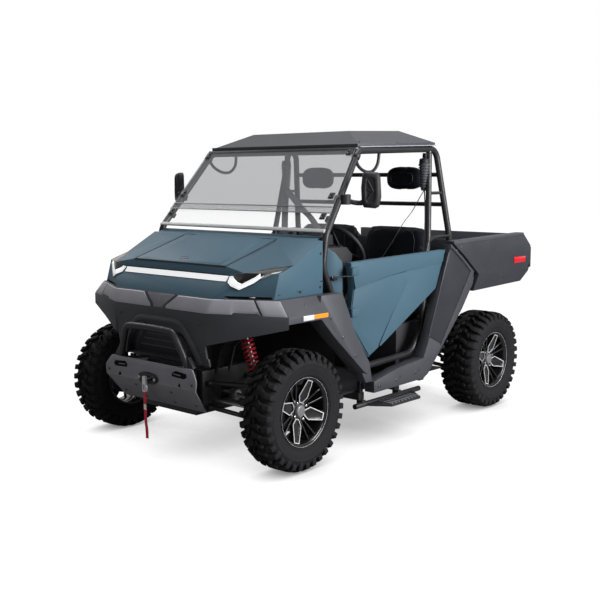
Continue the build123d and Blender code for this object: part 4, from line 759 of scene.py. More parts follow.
panels, centre, slots, marker = Shape(), Shape(), Shape(), Shape()
cover_panel(panels,
    [(0.17, 0.02), (0.36, 0.02), (1.0, 0.02), (1.62, 0.02), (1.66, 0.14), (2.26, 0.14), (2.31, 0.02)],
    [(0.36, 0.97), (0.50, 0.97), (1.0, 0.97), (1.62, 0.97), (1.66, 0.97), (2.22, 0.97), (2.26, 0.97)], 5.0)
cover_panel(panels, [(2.37, 0.02), (2.98, 0.02)], [(2.32, 0.97), (2.98, 0.97)], 4.0)
# the panels are light grey, a painted sheen on the cover's up-facing slope
panels.pair("cover_panels", "plastic_painted_sheen", 1.2)
# the middle panel, in the same painted-sheen grey, is laid twice in one place, which darkens it
for _ in SIDES:
    cover_panel(centre, [(0.0, 0.04), (0.10, 0.04)], [(0.0, 0.97), (0.28, 0.97)], 2.0)
centre.pair("cover_middle", "plastic_painted_sheen", 0.8)
slots.slab(on_cover, [(2.30, 0.10), (2.37, 0.10), (2.33, 0.9), (2.27, 0.9)], -1, 2.4)
slots.pair("cover_slots", "dark_plastic")
marker.block(*ahead((811.5, -28, 818.5), (817.5, 60, 845.5)))
marker.pair("white_marker", "pearl", 2)


# ------------------------------------------------------------------ windshield, roof edge and grab handles
SCREEN_FOOT, SCREEN_HEAD = [Vector(p) for p in ahead((0, 309, 1245), (0, 689, 1715))]
SCREEN_WAY = (SCREEN_HEAD - SCREEN_FOOT).normalized()
SCREEN_OUT = Vector((0, -SCREEN_WAY.z, SCREEN_WAY.y))
FRONT_FACE = 20.3


def on_screen(x, up, lift):
    """A point of the windshield: across, up the slope, and out from the CAD pane's front."""
    return Vector((x, 0, 0)) + SCREEN_FOOT + SCREEN_WAY * up + SCREEN_OUT * (FRONT_FACE + lift)


#     name, look, rounding, the CAD node it replaces, and its bars: low edge and half width, high edge and
#     half width, lift and thickness
SCREEN_PARTS = [
    ("screen_lower", "glass_clear", 0, ["windshield"], [(14, 682, 172, 662, 0, 5)]),
    ("screen_upper", "glass_tint", 0, ["windshield"], [(130, 667, 590, 612, 5.3, 5)]),
    # the foot's pale band is a painted highlight
    ("screen_foot_highlight", "painted_highlight_band", 2, [], [(2, 684, 24, 684, -3, 10)]),
    ("screen_overlap", "seam_grey", 0.6, [], [(126, 667, 133, 667, 10.5, 2), (168, 661, 175, 661, 10.5, 2)]),
    ("screen_head_bar", "dark_plastic", 3, [], [(584, 612, 604, 612, 2, 10)]),
]
for name, look, width, replaced, bars in SCREEN_PARTS:
    part = Shape()
    for low, low_half, high, high_half, lift, thick in bars:
        corners = ((-low_half, low), (low_half, low), (high_half, high), (-high_half, high))
        part.prism([on_screen(x, up, lift) for x, up in corners], SCREEN_OUT * thick)
    part.piece(name, look, width, replaces=replaced)

HOOP_FOOT, HOOP_HEAD = [Vector(p) for p in ahead((668, 309, 1245), (612, 689, 1715))]
clamps, clamp_bolts = Shape(), Shape()
for share in (0.17, 0.41, 0.93):
    centre = HOOP_FOOT.lerp(HOOP_HEAD, share)
    clamps.lathe(centre, HOOP_HEAD - HOOP_FOOT, [(20.4, -13), (25, -13), (25, 13), (20.4, 13)], closed=True)
    x, up = centre.x, (centre.z - SCREEN_FOOT.z) / SCREEN_WAY.z
    clamps.prism([on_screen(x + a, up + b, 11) for a, b in ((-44, -20), (-8, -20), (-8, 20), (-44, 20))],
        SCREEN_OUT * 7)
    for spread in (-11, 11):
        clamp_bolts.lathe(on_screen(x - 33, up + spread, 18), SCREEN_OUT, [(7, 0), (7, 3), (4, 5), (4, 6)], 6)
clamps.pair("screen_clamps", "tube", 1)
clamp_bolts.pair("clamp_bolts", "bolt", 0.5)


def smooth_path(points, steps=8):
    """A Catmull-Rom curve through a few points."""
    points = [Vector(p) for p in points]
    ends = [points[0] * 2 - points[1]] + points + [points[-1] * 2 - points[-2]]
    line = []
    for a, b, c, d in zip(ends, ends[1:], ends[2:], ends[3:]):
        for t in [k / steps for k in range(steps)]:
            line.append(0.5 * (2 * b + (c - a) * t + (2 * a - 5 * b + 4 * c - d) * t * t
                    + (3 * b - a - 3 * c + d) * t ** 3))
    return line + [points[-1]]


grab, roof_flange = Shape(), Shape()
grab.tube(smooth_path(ahead((611, 668, 1668), (604, 700, 1628), (600, 768, 1597), (600, 842, 1598),
        (600, 892, 1640), (602, 905, 1704))), 9.5, 14)
grab.pair("grab_handle", "tube")
for side in SIDES:
    roof_flange.band(ahead((side * 611, 700, 1737.5), (side * 624, 1478, 1766)), 9, 2.5, X_WAY)
# the roof's side flange takes the same light grey of painted sheen
roof_flange.piece("roof_side_flange", "plastic_painted_sheen", 0.8)


# ------------------------------------------------------------------ seat belts
REEL_X, REEL_STATION, REEL_Z = 592.0, 1404.0, 1650
BOOT_RIBS, RIB_PITCH, RIB_TAPER = 9, 17, 1.1
#      a belt's middle line (x, station, z) and the way its webbing faces
BELTS = [([(592, 1406, 1480), (560, 1412, 1440), (480, 1440, 1345), (395, 1462, 1262), (300, 1468, 1130),
        (180, 1446, 960), (70, 1430, 838)], (0.65, -0.75, 0.13)),
    ([(596, 1404, 1480), (604, 1404, 1350), (606, 1400, 1200), (602, 1392, 1000), (598, 1400, 810)],
        (0.65, -0.75, 0))]
reels, boots, belts, buckles, tongues = Shape(), Shape(), Shape(), Shape(), Shape()
reel = (REEL_X, front_y(REEL_STATION), REEL_Z)
reels.lathe(reel, Z_WAY, [(14, 34), (30, 30), (34, 4), (33, -2)], 28)
reels.block(*ahead((REEL_X - 12, REEL_STATION - 6, 1680), (REEL_X + 12, REEL_STATION + 26, 1716)))
ribs = [(33, 0)]
for k in range(BOOT_RIBS):
    ribs += [(radius - k * RIB_TAPER, -6 - k * RIB_PITCH - drop) for radius, drop in
        ((37, 0), (37, 8), (30, 11), (30, 15))]
boots.lathe(reel, Z_WAY, ribs + [(16, -172)], 28)
for route, facing in BELTS:
    belts.band(smooth_path(ahead(*route)), 23, 1.2, facing)
buckles.block(*ahead((50, 1418, 788), (86, 1444, 846)))
tongues.prism(ahead((54, 1428, 846), (92, 1428, 846), (106, 1428, 868), (68, 1428, 880)), (0, 3, 0))
reels.pair("belt_reels", "dark_plastic", 2)
boots.pair("belt_boots", "boot_grey")
belts.pair("seat_belts", "webbing")
buckles.pair("belt_buckles", "dark_plastic", 4)
tongues.pair("belt_tongues", "steel", 1)


# ------------------------------------------------------------------ door skins
DOOR_X = 744.0


def upper_facet(s, z):
    return 1.5 + 0.085 * (1088 + (s - 457) * 0.0185 - z)


def front_facet(s, z):
    return 2.5 + 0.020 * (s - 450) + 0.006 * (z - 530)


def rear_facet(s, z):
    return 13.5 - 0.016 * (s - 700) + 0.006 * (900 - z)


#     how far a facet stands out at a place, and its corners (station, z); neighbours are 1 mm apart
DOOR_FACETS = [
    (upper_facet,
        [(463, 1082), (1422, 1100), (1391, 1030), (1146, 1012), (986, 1003), (807, 986), (485, 938)]),
    (front_facet,
        [(485, 937), (807, 985), (984, 1001), (984, 933), (946, 879), (836, 751), (714, 588), (719, 578),
        (629, 535), (452, 749)]),
    (rear_facet,
        [(987, 1002), (1146, 1011), (1391, 1029), (1319, 868), (724, 580), (718, 588), (840, 751),
        (950, 879), (988, 932)]),
]
skin, latch, hip = Shape(), Shape(), Shape()
for stands_out, outline in DOOR_FACETS:
    skin.solid([ahead(*[(DOOR_X, s, z) for s, z in outline]),
            ahead(*[(DOOR_X + 1 + stands_out(s, z), s, z) for s, z in outline])])
skin.pair("door_skin", "paint", 1.2, "door_*", angle=20)
latch.block(*ahead((700, 330, 1002), (716, 352, 1018)))
latch.pair("door_latch_slot", "smoked", 3)
hip.tube(smooth_path(ahead((672, 1312, 1060), (672, 1326, 1106), (671, 1352, 1158), (669, 1440, 1182),
        (664, 1600, 1184))), 11, 14)
hip.pair("hip_guard", "tube")


# ------------------------------------------------------------------ seats and headrests
SWELL_FRAMES = 20
KEPT_SHARE = 0.3


def evaluated_mesh(obj):
    """A new mesh with the modifiers of a piece worked in."""
    return bpy.data.meshes.new_from_object(obj.evaluated_get(bpy.context.evaluated_depsgraph_get()))


def coordinates(mesh):
    flat = np.empty(len(mesh.vertices) * 3)
    mesh.vertices.foreach_get("co", flat)
    return flat.reshape(-1, 3)


def blown_up(obj, voxel, cap):
    """Swells a closed pad by cloth pressure, moving no point further than a cap in millimetres."""
    remesh = obj.modifiers.new("remesh", "REMESH")
    remesh.mode = "VOXEL"
    remesh.voxel_size = voxel * MM
    start = evaluated_mesh(obj)
    obj.modifiers.clear()
    look = obj.data.materials[0]
    obj.data = start
    start.materials.clear()
    start.materials.append(look)
    cloth = obj.modifiers.new("cloth", "CLOTH")
    cloth.settings.use_pressure = True
    cloth.settings.uniform_pressure_force = 4.0
    cloth.settings.effector_weights.gravity = 0.0
    cloth.settings.quality = 5
    for frame_number in range(1, SWELL_FRAMES + 1):
        bpy.context.scene.frame_set(frame_number)
    swollen = evaluated_mesh(obj)
    rest = coordinates(start)
    step = coordinates(swollen) - rest
    reach = np.linalg.norm(step, axis=1, keepdims=True)
    step *= np.minimum(1.0, cap * MM / np.maximum(reach, 1e-9))
    obj.modifiers.clear()
    bpy.data.meshes.remove(swollen)
    start.vertices.foreach_set("co", (rest + step).ravel())
    bpy.context.scene.frame_set(1)
    relax = obj.modifiers.new("relax", "SMOOTH")
    relax.iterations = 6
    fine = obj.modifiers.new("fine", "SUBSURF")
    fine.levels = fine.render_levels = 1
    thin = obj.modifiers.new("thin", "DECIMATE")
    thin.ratio = KEPT_SHARE
    done = evaluated_mesh(obj)
    obj.modifiers.clear()
    obj.data = done
    for polygon in done.polygons:
        polygon.use_smooth = True


def pads(shape_of, name, node_name, voxel, cap):
    """The left and the right pad that take a node's place."""
    made = []
    for side in SIDES:
        obj = shape_of(side).piece("%s_%s" % (name, SIDE_NAMES[side]), "vinyl", replaces=[node_name])
        obj.modifiers.clear()
        blown_up(obj, voxel, cap)
        made.append(obj)
    return made


SEAM_LIFT = 0.0006


def piping(name, sewn, routes, radius):
    """Sewn edges: thin tubes that follow the pads' surface along routes."""
    seams = Shape()
    for route in routes:
        line = []
        for point in smooth_path(route, 14):
            found = []
            for obj in sewn:
                hit, where, normal, _ = obj.closest_point_on_mesh(point * MM)
                if hit:
                    found.append(((where - point * MM).length, (where + normal * SEAM_LIFT) / MM))
            line.append(min(found, key=lambda one: one[0])[1])
        seams.tube(line, radius, 8)
    seams.piece(name, "piping")


#        across: place, how far the top sinks there, share of the thickness
BACK_ROWS = [(32, 66, 0.40), (46, 30, 0.70), (84, 10, 0.92), (148, 1, 1.0), (296, 0, 1.0), (440, 2, 1.0),
    (502, 11, 0.92), (542, 34, 0.70), (558, 72, 0.40)]
#        station of the front and of the rear face, and height
BACK_SIDE = [(1454, 1530, 776), (1453, 1536, 800), (1466, 1545, 930), (1480, 1556, 1080), (1497, 1563, 1180),
    (1512, 1562, 1232), (1526, 1552, 1249)]
#        across: place and share of the outline
CUSHION_ROWS = [(20, 0.42), (34, 0.74), (60, 0.94), (110, 1.0), (290, 1.0), (460, 1.0), (515, 0.94),
    (548, 0.76), (566, 0.42)]
#        station and height round the cushion's outline, seen from the side
CUSHION_SIDE = [(1092, 652), (1490, 652), (1510, 740), (1434, 752), (1300, 770), (1150, 778), (1090, 762),
    (1078, 700)]
CUSHION_MIDDLE = (1290, 708)
HEAD_X, HEAD_Z, HEAD_WIDE, HEAD_TALL = 375.0, 1557.0, 139.0, 78.0
#        station, share of the outline
HEAD_ROWS = [(1472, 0.62), (1475, 0.80), (1481, 0.93), (1492, 1.0), (1508, 1.0), (1519, 0.93), (1524, 0.80),
    (1527, 0.62)]


def back_shape(side):
    shape = Shape()
    low, top = BACK_SIDE[0][2], BACK_SIDE[-1][2]
    rows = []
    for x, sink, share in BACK_ROWS:
        ring = []
        for front, rear, z in BACK_SIDE:
            height = low + (z - low) * (top - sink - low) / (top - low)
            middle, half = (front + rear) / 2 + 8 * (1 - share), (rear - front) / 2 * share
            ring.append(((side * x, middle - half, height), (side * x, middle + half, height)))
        rows.append(ahead(*[a for a, b in ring], *[b for a, b in reversed(ring)]))
    shape.solid(rows)
    return shape


def cushion_shape(side):
    shape = Shape()
    station, height = CUSHION_MIDDLE
    rows = []
    for x, share in CUSHION_ROWS:
        rows.append(ahead(*[(side * x, station + (s - station) * (0.90 + 0.10 * share),
                height + (z - height) * share) for s, z in CUSHION_SIDE]))
    shape.solid(rows)
    return shape


def pill(count):
    """The outline of a headrest from the front: an oblong with full corners."""
    def full(value):
        return math.copysign(abs(value) ** (2 / 3), value)

    return [(HEAD_WIDE * full(math.cos(a)), HEAD_TALL * full(math.sin(a))) for a in turns(count)]


def head_shape(side):
    shape = Shape()
    rows = []
    for s, share in HEAD_ROWS:
        shrink = HEAD_TALL * (1 - share)
        rows.append(ahead(*[(side * HEAD_X + u * (HEAD_WIDE - shrink) / HEAD_WIDE, s,
                HEAD_Z + v * (HEAD_TALL - shrink) / HEAD_TALL) for u, v in pill(40)]))
    shape.solid(rows)
    return shape


#        seams on the left pads (x, station, z); the closest places of the pads are sewn
BACK_SEAMS = [
    [(118, 1440, 800), (112, 1460, 1000), (128, 1485, 1190), (292, 1500, 1228), (456, 1485, 1190),
        (472, 1460, 1000), (466, 1440, 800)],
    [(118, 1462, 1000), (292, 1455, 1010), (470, 1462, 1000)]]
CUSHION_SEAMS = [[(110, 1480, 790), (112, 1250, 800), (118, 1100, 790), (290, 1080, 790), (462, 1100, 790),
        (468, 1250, 800), (470, 1480, 790)]]
HEAD_SEAM = [(u * 0.62, 1462, HEAD_Z + v * 0.52) for u, v in pill(24) + pill(24)[:1]]


def on_both_sides(routes):
    return [ahead(*[(side * x, s, z) for x, s, z in route]) for side in SIDES for route in routes]


backs = pads(back_shape, "seat_back", "seat_backs", 6, 14)
cushions = pads(cushion_shape, "seat_cushion", "seat_cushion", 6, 14)
heads = pads(head_shape, "headrest", "headrests", 5, 8)
piping("headrest_seams", heads, [ahead(*[(side * HEAD_X + u, s, z) for u, s, z in HEAD_SEAM])
        for side in SIDES], 1.6)
piping("seat_back_seams", backs, on_both_sides(BACK_SEAMS), 1.8)
piping("cushion_seams", cushions, on_both_sides(CUSHION_SEAMS), 1.8)

# ------------------------------------------------------------------ winch strap, hook and plate details
#      the strap's middle line: across, station, height
STRAP = [(0, -422, 391.2), (3, -424, 338), (0, -420, 282), (5, -424, 226), (12, -421, 172), (16, -425, 130)]
PATCH_LOW, PATCH_HIGH = 0.288, 0.322
curve = bpy.data.curves.new("strap_line", "CURVE")
curve.dimensions = "3D"
spline = curve.splines.new("NURBS")
spline.points.add(len(STRAP) - 1)
for point, place in zip(spline.points, ahead(*STRAP)):
    point.co = [c * MM for c in place] + [1]
spline.order_u = 3
spline.use_endpoint_u = True
spline.resolution_u = 12
line_object = linked("strap_line", curve)
strap_path = [v.co.copy() for v in bpy.data.meshes.new_from_object(line_object).vertices]
bpy.data.objects.remove(line_object)
strap, patch = Shape(), Shape()
strap.band([p / MM for p in strap_path], 10.9, 1.6, X_WAY)
strap_piece = strap.piece("pull_strap", "strap", replaces=["winch_strap"])
patch.band([p / MM for p in strap_path if PATCH_LOW < p.z < PATCH_HIGH], 10.4, 2.5, X_WAY)
patch_piece = patch.piece("strap_patch", "patch")

PLATE_LINE = [(-285, 302), (-392, 440), (-392, 497), (-379, 552)]
FASCIA_LINE = [(-288, 558), (-310, 673), (-318, 812)]


def on_plate(x, z, lift):
    return (x, front_y(along_line(PLATE_LINE, z) - lift), z)


def on_fascia(x, z, lift):
    return (x, front_y(along_line(FASCIA_LINE, z) - lift), z)


slots, diamonds, slot_ribs, fair_bolts, fair_ring, pin = Shape(), Shape(), Shape(), Shape(), Shape(), Shape()
# the slots and diamond holes are near-black slabs on the plate, painted shade in the openings
slots.slab(on_plate, [(192, 500), (290, 496), (308, 508), (300, 524), (214, 531), (190, 516)], 0.2, 1.4)
slot_ribs.slab(on_plate, [(204, 512), (262, 509), (264, 513), (206, 516)], 1.2, 4.0)
diamonds.slab(on_plate, [(250, 430), (264, 450), (253, 470), (240, 452)], 0.2, 1.4)
slots.pair("plate_slots", "hole_shade")
slot_ribs.pair("plate_slot_ribs", "plate", 0.4)
diamonds.pair("plate_holes", "hole_shade")
FAIRLEAD_Z = 463
for x in (-64, 64):
    fair_bolts.lathe((x, front_y(-406), FAIRLEAD_Z), (0, -1, 0), [(9, 0), (9, 4), (5, 6), (5, 7)], 6)
fair_bolts.piece("fairlead_bolts", "steel", 0.6)
oval = [on_plate(78 * math.cos(a), FAIRLEAD_Z + 31 * math.sin(a), 2) for a in turns(40)]
fair_ring.tube(oval + oval[:1], 4.0, 8)
fair_ring.piece("fairlead_ring", "tube", slot="frame_coat")
pin.lathe((-15, front_y(-417), 402), X_WAY, [(4.5, 0), (4.5, 30)], 16)
pin.lathe((-17, front_y(-417), 402), X_WAY, [(7, 0), (7, 3)], 6)
pin.piece("hook_pin", "steel", 0.4)

# ------------------------------------------------------------------ mirrors
MIRROR = Vector((802.0, front_y(562), 1492.0))
MIRROR_TURN = math.radians(28)
ACROSS = Vector((math.cos(MIRROR_TURN), math.sin(MIRROR_TURN), 0))
FACING = Vector((math.sin(MIRROR_TURN), -math.cos(MIRROR_TURN), 0))
MIRROR_FACE = [(-52, -74), (-40, -98), (26, -103), (46, -92), (57, -40), (50, 78), (36, 98), (-34, 103),
    (-50, 90), (-57, 12)]
#     depth of a ring of the shell, and its width and height as shares of the face
MIRROR_RINGS = [(-24, 0.90, 0.94), (-22, 0.98, 0.99), (-8, 1.0, 1.0), (6, 0.98, 0.99), (17, 0.84, 0.91),
    (22, 0.66, 0.80), (22, 0.50, 0.70), (17, 0.44, 0.64)]
ARM_RADII = [17, 16, 15] + [14] * 7 + [15, 15, 16, 17, 18, 19]


def on_mirror(u, v, depth):
    return MIRROR + ACROSS * u + FACING * depth + Vector((0, 0, v))


shells, ribs, glasses, arms = Shape(), Shape(), Shape(), Shape()
shells.solid([[on_mirror(u * a, v * b, depth) for u, v in MIRROR_FACE] for depth, a, b in MIRROR_RINGS])
for a, b in (((-18, -52), (16, -8)), ((16, -8), (-14, 50)), ((-18, 6), (16, -8))):
    ribs.tube([on_mirror(*a, 19), on_mirror(*b, 19)], 4.5, 8)
glasses.slab(on_mirror, [(u * 0.86, v * 0.90) for u, v in MIRROR_FACE], -23, -25)
arms.tube(smooth_path(ahead((676, 486, 1440), (708, 512, 1424), (744, 548, 1420), (772, 556, 1440)), 5),
    ARM_RADII, 16)
arms.lathe((681, front_y(486), 1410), Z_WAY, [(27, 0), (30, 4), (30, 54), (27, 58)], 24)
shells.piece("mirror_shells_left", "dark_plastic", 4, replaces=["mirrors"])
shells.mirrored().piece("mirror_shells_right", "dark_plastic", 4)
ribs.pair("mirror_ribs", "dark_plastic")
glasses.pair("mirror_glass", "chrome", 1, slot=PLAIN_SLOT)
arms.pair("mirror_arms", "dark_plastic")

# ------------------------------------------------------------------ bull bar and the arch behind it
#     the left half of the bar (x, station, z), from its foot to the middle
BULL = [(284, -356, 545), (262, -362, 600), (222, -376, 690), (196, -381, 727), (160, -382, 741),
    (0, -383, 745)]
#     the left half of the arch (x, z)
ARCH = [(309, 560), (276, 642), (266, 664), (206, 742), (186, 762), (150, 776), (0, 778)]
ARCH_FOOT_Z = 552
#     the arch's section: out from its line, and lift
ARCH_SECTION = [(26, -2), (22, 3), (8, 13), (-8, 14), (-13, 9), (-13, -12)]
#     the left half of the panel within the arch (x, z)
PANEL = [(262, 580), (232, 648), (176, 708), (100, 726)]
PANEL_FOOT_Z = 580


def whole(half):
    """A line across the vehicle from its left half; a last point at x = 0 isn't doubled."""
    return half + [(-p[0], *p[1:]) for p in reversed(half) if p[0]]


bull, feet, arch, panel, panel_ribs = Shape(), Shape(), Shape(), Shape(), Shape()
bull.tube(smooth_path(ahead(*whole(BULL)), 6), 18.5, 20)
bull.piece("front_guard", "tube", replaces=["bull_bar"])
feet.prism(ahead((268, -340, 552), (330, -340, 552), (330, -340, 558), (292, -340, 610), (266, -340, 610)),
    (0, -24, 0))
feet.pair("guard_feet", "tube", 2)
rows = []
for (x, z), way in path_ways([Vector(p) for p in whole(ARCH)]):
    rows.append([on_fascia(x + way.y * spread, max(z - way.x * spread, ARCH_FOOT_Z), lift)
            for spread, lift in ARCH_SECTION])
arch.solid(rows)
arch.piece("guard_arch", "plastic", 2)
panel.solid([[on_fascia(x * k, PANEL_FOOT_Z + (z - PANEL_FOOT_Z) * k, -31 + (1 - k) * 70)
        for x, z in whole(PANEL)] for k in (0.94, 0.88)])
panel.piece("guard_panel", "dark_plastic", 2)
for z in (622, 660, 694):
    half = 196 - (z - 622) * 0.9
    panel_ribs.tube([on_fascia(-half, z, -24), on_fascia(half, z, -24)], 5, 8)
panel_ribs.piece("guard_panel_ribs", "plastic")

# ------------------------------------------------------------------ steps and sill
grips, treads, studs = Shape(), Shape(), Shape()
for s in range(742, 742 + 9 * 34, 34):
    grips.block(*ahead((738, s, 242), (836, s + 14, 247)))
grips.pair("step_grips", "plate", 1.5, slot="tube_coat")
treads.prism(ahead((655, 900, 384), (700, 900, 384), (700, 1190, 430), (655, 1190, 430)), (0, 0, 4))
treads.pair("sill_treads", "plate", 1.5, slot=PLAIN_SLOT)
for s, z in ((700, 350), (900, 372), (1100, 384), (1420, 520), (1560, 700), (1655, 880)):
    studs.lathe((779, front_y(s), z), X_WAY, [(7, -2), (7, 1.2), (4, 3.2)], 20)
studs.pair("sill_studs", "dark_plastic")


# ------------------------------------------------------------------ dash and driver's controls
def on_dash(x, z, lift):
    """A point over the dash's face, which leans further above a height of 1120."""
    if z >= 1120:
        return (x, front_y(555 + (1165 - z) / 45 * 55) + lift, z + lift * 0.8)
    return (x, front_y(590 + (z - 1000) / 120 * 20) + lift, z)


def upright(x, z, station):
    """A point at a station, for plates that stand across the vehicle."""
    return (x, front_y(station), z)


def rectangle(x0, x1, z0, z1):
    return [(x0, z0), (x1, z0), (x1, z1), (x0, z1)]


pod, dial, lid, vents, keys, bar, pedals = Shape(), Shape(), Shape(), Shape(), Shape(), Shape(), Shape()
pod.slab(upright, [(272, 1160), (448, 1160), (440, 1226), (280, 1226)], 560, 672)
pod.piece("meter_pod", "dark_plastic", 8)
dial.slab(upright, [(288, 1172), (432, 1172), (426, 1216), (294, 1216)], 671, 674)
dial.piece("meter_screen", "smoked", 1)
lid.slab(on_dash, rectangle(-480, -170, 1016, 1108), 0, 5)
lid.piece("glove_lid", "dark_plastic", 3)
for x in (-110, 0, 110):
    vents.slab(on_dash, rectangle(x - 42, x + 42, 1074, 1106), 0, 6)
# the vents are near-black slabs, painted shade in their openings
vents.piece("dash_vents", "hole_shade", 2, slot=PLAIN_SLOT)
for x in (-96, -48, 0, 48, 96):
    keys.slab(on_dash, rectangle(x - 17, x + 17, 1020, 1060), 0, 7)
keys.piece("dash_switches", "plastic", 2)
bar.tube(smooth_path(ahead((-470, 600, 1150), (-440, 640, 1168), (-330, 652, 1172), (-220, 640, 1168),
        (-190, 600, 1150)), 6), 11, 14)
bar.piece("dash_grab_bar", "tube")
for x, wide in ((330, 44), (420, 30)):
    pedals.prism(ahead((x - wide, 470, 560), (x + wide, 470, 560),
            (x + wide, 440, 640), (x - wide, 440, 640)), (0, 8, 0))
    pedals.tube(ahead((x, 462, 600), (x, 455, 820)), 7, 8)
pedals.piece("pedals", "frame", 2)

# ------------------------------------------------------------------ quarter panel: a dark sheet in its recess, painted shade
QUARTER = [(1354, 514), (1448, 652), (1562, 798), (1680, 950), (1576, 1028), (1452, 1110), (1428, 1088),
    (1332, 857), (1214, 576)]
quarter = Shape()
quarter.solid([ahead(*[(x, 1448 + (s - 1448) * k, 850 + (z - 850) * k) for s, z in QUARTER])
        for x, k in ((769, 1.0), (772, 1.0), (775, 0.97))])
quarter.pair("quarter_recess_shade", "recess_shade_plastic")

# ------------------------------------------------------------------ bed and tailgate
RAIL_SECTION = [(724, -2), (724, 5), (728, 9), (788, 9), (793, 5), (793, -10), (790.5, -12), (789, -2)]
GATE_SKIN = rear_y(550)
#     stations of the tail lamp's face at its foot and at its top, with their heights
LAMP_LINE = [(556.0, 930.0), (549.0, 1060.0)]
ribs, walls, sill, caps = Shape(), Shape(), Shape(), Shape()
for x in range(-560, 561, 140):
    ribs.block((x - 16, rear_y(-215), 892), (x + 16, rear_y(490), 898))
ribs.piece("bed_floor_ribs", "side_plastic", 2, "cargo_bed")
for x in range(-480, 481, 240):
    walls.block((x - 40, rear_y(-221), 930), (x + 40, rear_y(-215), 1110))
walls.piece("bed_wall_panels", "side_plastic", 3, "cargo_bed")
sill.block((-716, rear_y(496), 882), (716, rear_y(548), 897))
sill.piece("bed_rear_sill", "bed_plastic", 1, "cargo_bed")
caps.solid([[(x, rear_y(s), z + lift) for x, lift in RAIL_SECTION]
        for s, z in ((-488, 1151), (-20, 1160), (430, 1168))])
caps.pair("bed_rail_caps", "plastic", 1, "cargo_bed")
border, field, bay, handle = Shape(), Shape(), Shape(), Shape()
for x0, x1, z0, z1 in ((-700, 700, 1132, 1152), (-700, 700, 914, 930), (-700, -676, 930, 1132),
        (676, 700, 930, 1132)):
    border.block((x0, GATE_SKIN - 1, z0), (x1, GATE_SKIN + 6, z1))
border.piece("gate_border", "plastic", 2, "tailgate")
GATE_FIELD = [(-600, 948), (600, 948), (560, 1032), (-560, 1032)]
field.solid([[(x * a, GATE_SKIN + lift, 990 + (z - 990) * b) for x, z in GATE_FIELD]
        for lift, a, b in ((-1, 1, 1), (1, 1, 1), (6, 0.985, 0.88))])
field.piece("gate_panel", "plastic", 1, "tailgate")
# the latch bay is a near-black slab, painted shade in the recess
bay.block((-120, GATE_SKIN - 1, 1054), (120, GATE_SKIN + 2, 1120))
bay.piece("gate_latch_bay", "hole_shade", 2, "tailgate", PLAIN_SLOT)
handle.tube([(-70, GATE_SKIN + 7, 1062), (70, GATE_SKIN + 7, 1062)], 4.5, 10)
handle.piece("gate_latch_bar", "bolt", body="tailgate", slot=PLAIN_SLOT)
bezels, dividers = Shape(), Shape()
for z0, z1 in ((924, 932), (1058, 1066)):
    bezels.block((738, rear_y(536), z0), (788, rear_y(553), z1))
for x0, x1 in ((738, 744), (782, 788)):
    bezels.block((x0, rear_y(536), 930), (x1, rear_y(552), 1060))
bezels.pair("tail_lamp_bezels", "dark_plastic", 1, "cargo_bed")
for z in (962, 994, 1026):
    s = along_line(LAMP_LINE, z)
    dividers.block((744, rear_y(s - 5), z - 2), (782, rear_y(s + 1.5), z + 2))
dividers.pair("tail_lamp_ribs", "dark_plastic", 0.5, "cargo_bed")


# ------------------------------------------------------------------ bolts
#     where the rays that look for the bolts' places start: above, in front and beside the vehicle
TOP_Z, FRONT_Y, SIDE_X = 1950, front_y(-700), 1200


def from_above(*places):
    """Rays down at places (x, station) on both sides."""
    return [((side * x, front_y(s), TOP_Z), (0, 0, -1)) for side in SIDES for x, s in places]


def from_front(*places):
    """Rays back at places (x, z) on both sides."""
    return [((side * x, FRONT_Y, z), Y_WAY) for side in SIDES for x, z in places]


def from_side(*places, base=front_y):
    """Rays inwards at places (station, z) on both sides."""
    return [((side * SIDE_X, base(s), z), (-side, 0, 0)) for side in SIDES for s, z in places]


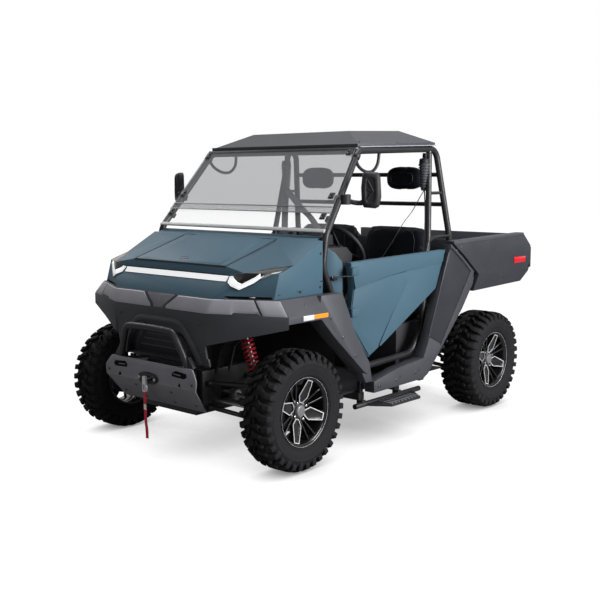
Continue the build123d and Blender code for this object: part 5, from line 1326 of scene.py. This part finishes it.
#     name, CAD node, body, head radius, rays
BOLTS = [
    ("roof_bolts", "roof_panel", "chassis", 9, from_above((560, 760), (585, 1120), (585, 1450), (300, 1520))),
    ("cover_bolts", "bumper_cover", "chassis", 8,
        from_front((330, 790), (60, 800), (355, 640)) + from_above((470, -250), (300, -300), (768, 40))
        + from_side((250, 800), (360, 680), (470, 560))),
    ("moulding_bolts", "side_mouldings", "chassis", 8,
        from_side((690, 350), (860, 360), (1060, 372), (1400, 470), (1510, 1096), (1730, 905), (1480, 1130))),
    ("bed_bolts", "cargo_bed", "cargo_bed", 8,
        from_side((-400, 1120), (-60, 1130), (380, 1140), (500, 900), (-120, 860), (200, 880), base=rear_y)),
    ("cowl_bolts", "front_body", "chassis", 7, from_side((250, 1000), (60, 960), (300, 1130), (-90, 955))),
    ("plate_bolts", "winch_plate", "chassis", 8, from_front((350, 470), (150, 400), (300, 340), (120, 330))),
    ("frame_bolts", "main_frame", "chassis", 9,
        from_side(*[(s, z) for s in (-150, 200, 1688, 2188) for z in (320, 400, 560)])),
]
for name, node_name, body, head, rays in BOLTS:
    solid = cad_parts[node_name]
    heads = Shape()
    for start, way in rays:
        hit, where, normal, _ = solid.ray_cast(Vector(start) * MM, Vector(way))
        if hit:
            heads.lathe(where / MM, normal, [(head, -1), (head, head * 0.28), (head * 0.62, head * 0.5),
                    (head * 0.5, head * 0.2)], 24)
    heads.piece(name, "bolt", body=body)
shackle = Shape()
shackle.tube(smooth_path(ahead((-9, -416, 394), (-17, -419, 410), (-14, -421, 426), (0, -421, 433),
        (14, -421, 426), (17, -419, 410), (9, -416, 394)), 6), 4.5, 12)
shackle.piece("hook_shackle", "machined", slot="steel")


# ------------------------------------------------------------------ cowl sides and the nose's foot
#     x and station of a cowl side, with its foot and its top
COWL = [(628, 322, 760, 1180), (656, 352, 745, 1172), (682, 396, 725, 1146), (699, 440, 712, 1092)]
cowl, seams, latches, nose_foot = Shape(), Shape(), Shape(), Shape()
cowl.solid([ahead((x, s, low), (x, s, high - 6), (x - 3, s, high), (x - 9, s, high), (x - 9, s, low))
        for x, s, low, high in COWL])
cowl.pair("cowl_sides", "paint", 1)
seams.prism(ahead((699, 440, 712), (701, 444, 712), (693, 446, 712), (690, 440, 712)), (0, 0, 380))
seams.pair("cowl_seams", "rubber", slot=PLAIN_SLOT)
latches.block(*ahead((676, 372, 990), (694, 402, 1012)))
latches.pair("cowl_latches", "dark_plastic", 3)
nose_foot.prism(ahead((-392, -278, 922), (392, -278, 922), (600, 120, 922), (600, 300, 922), (-600, 300, 922),
        (-600, 120, 922)), (0, 0, 9))
nose_foot.piece("nose_foot", "dark_plastic", 1)
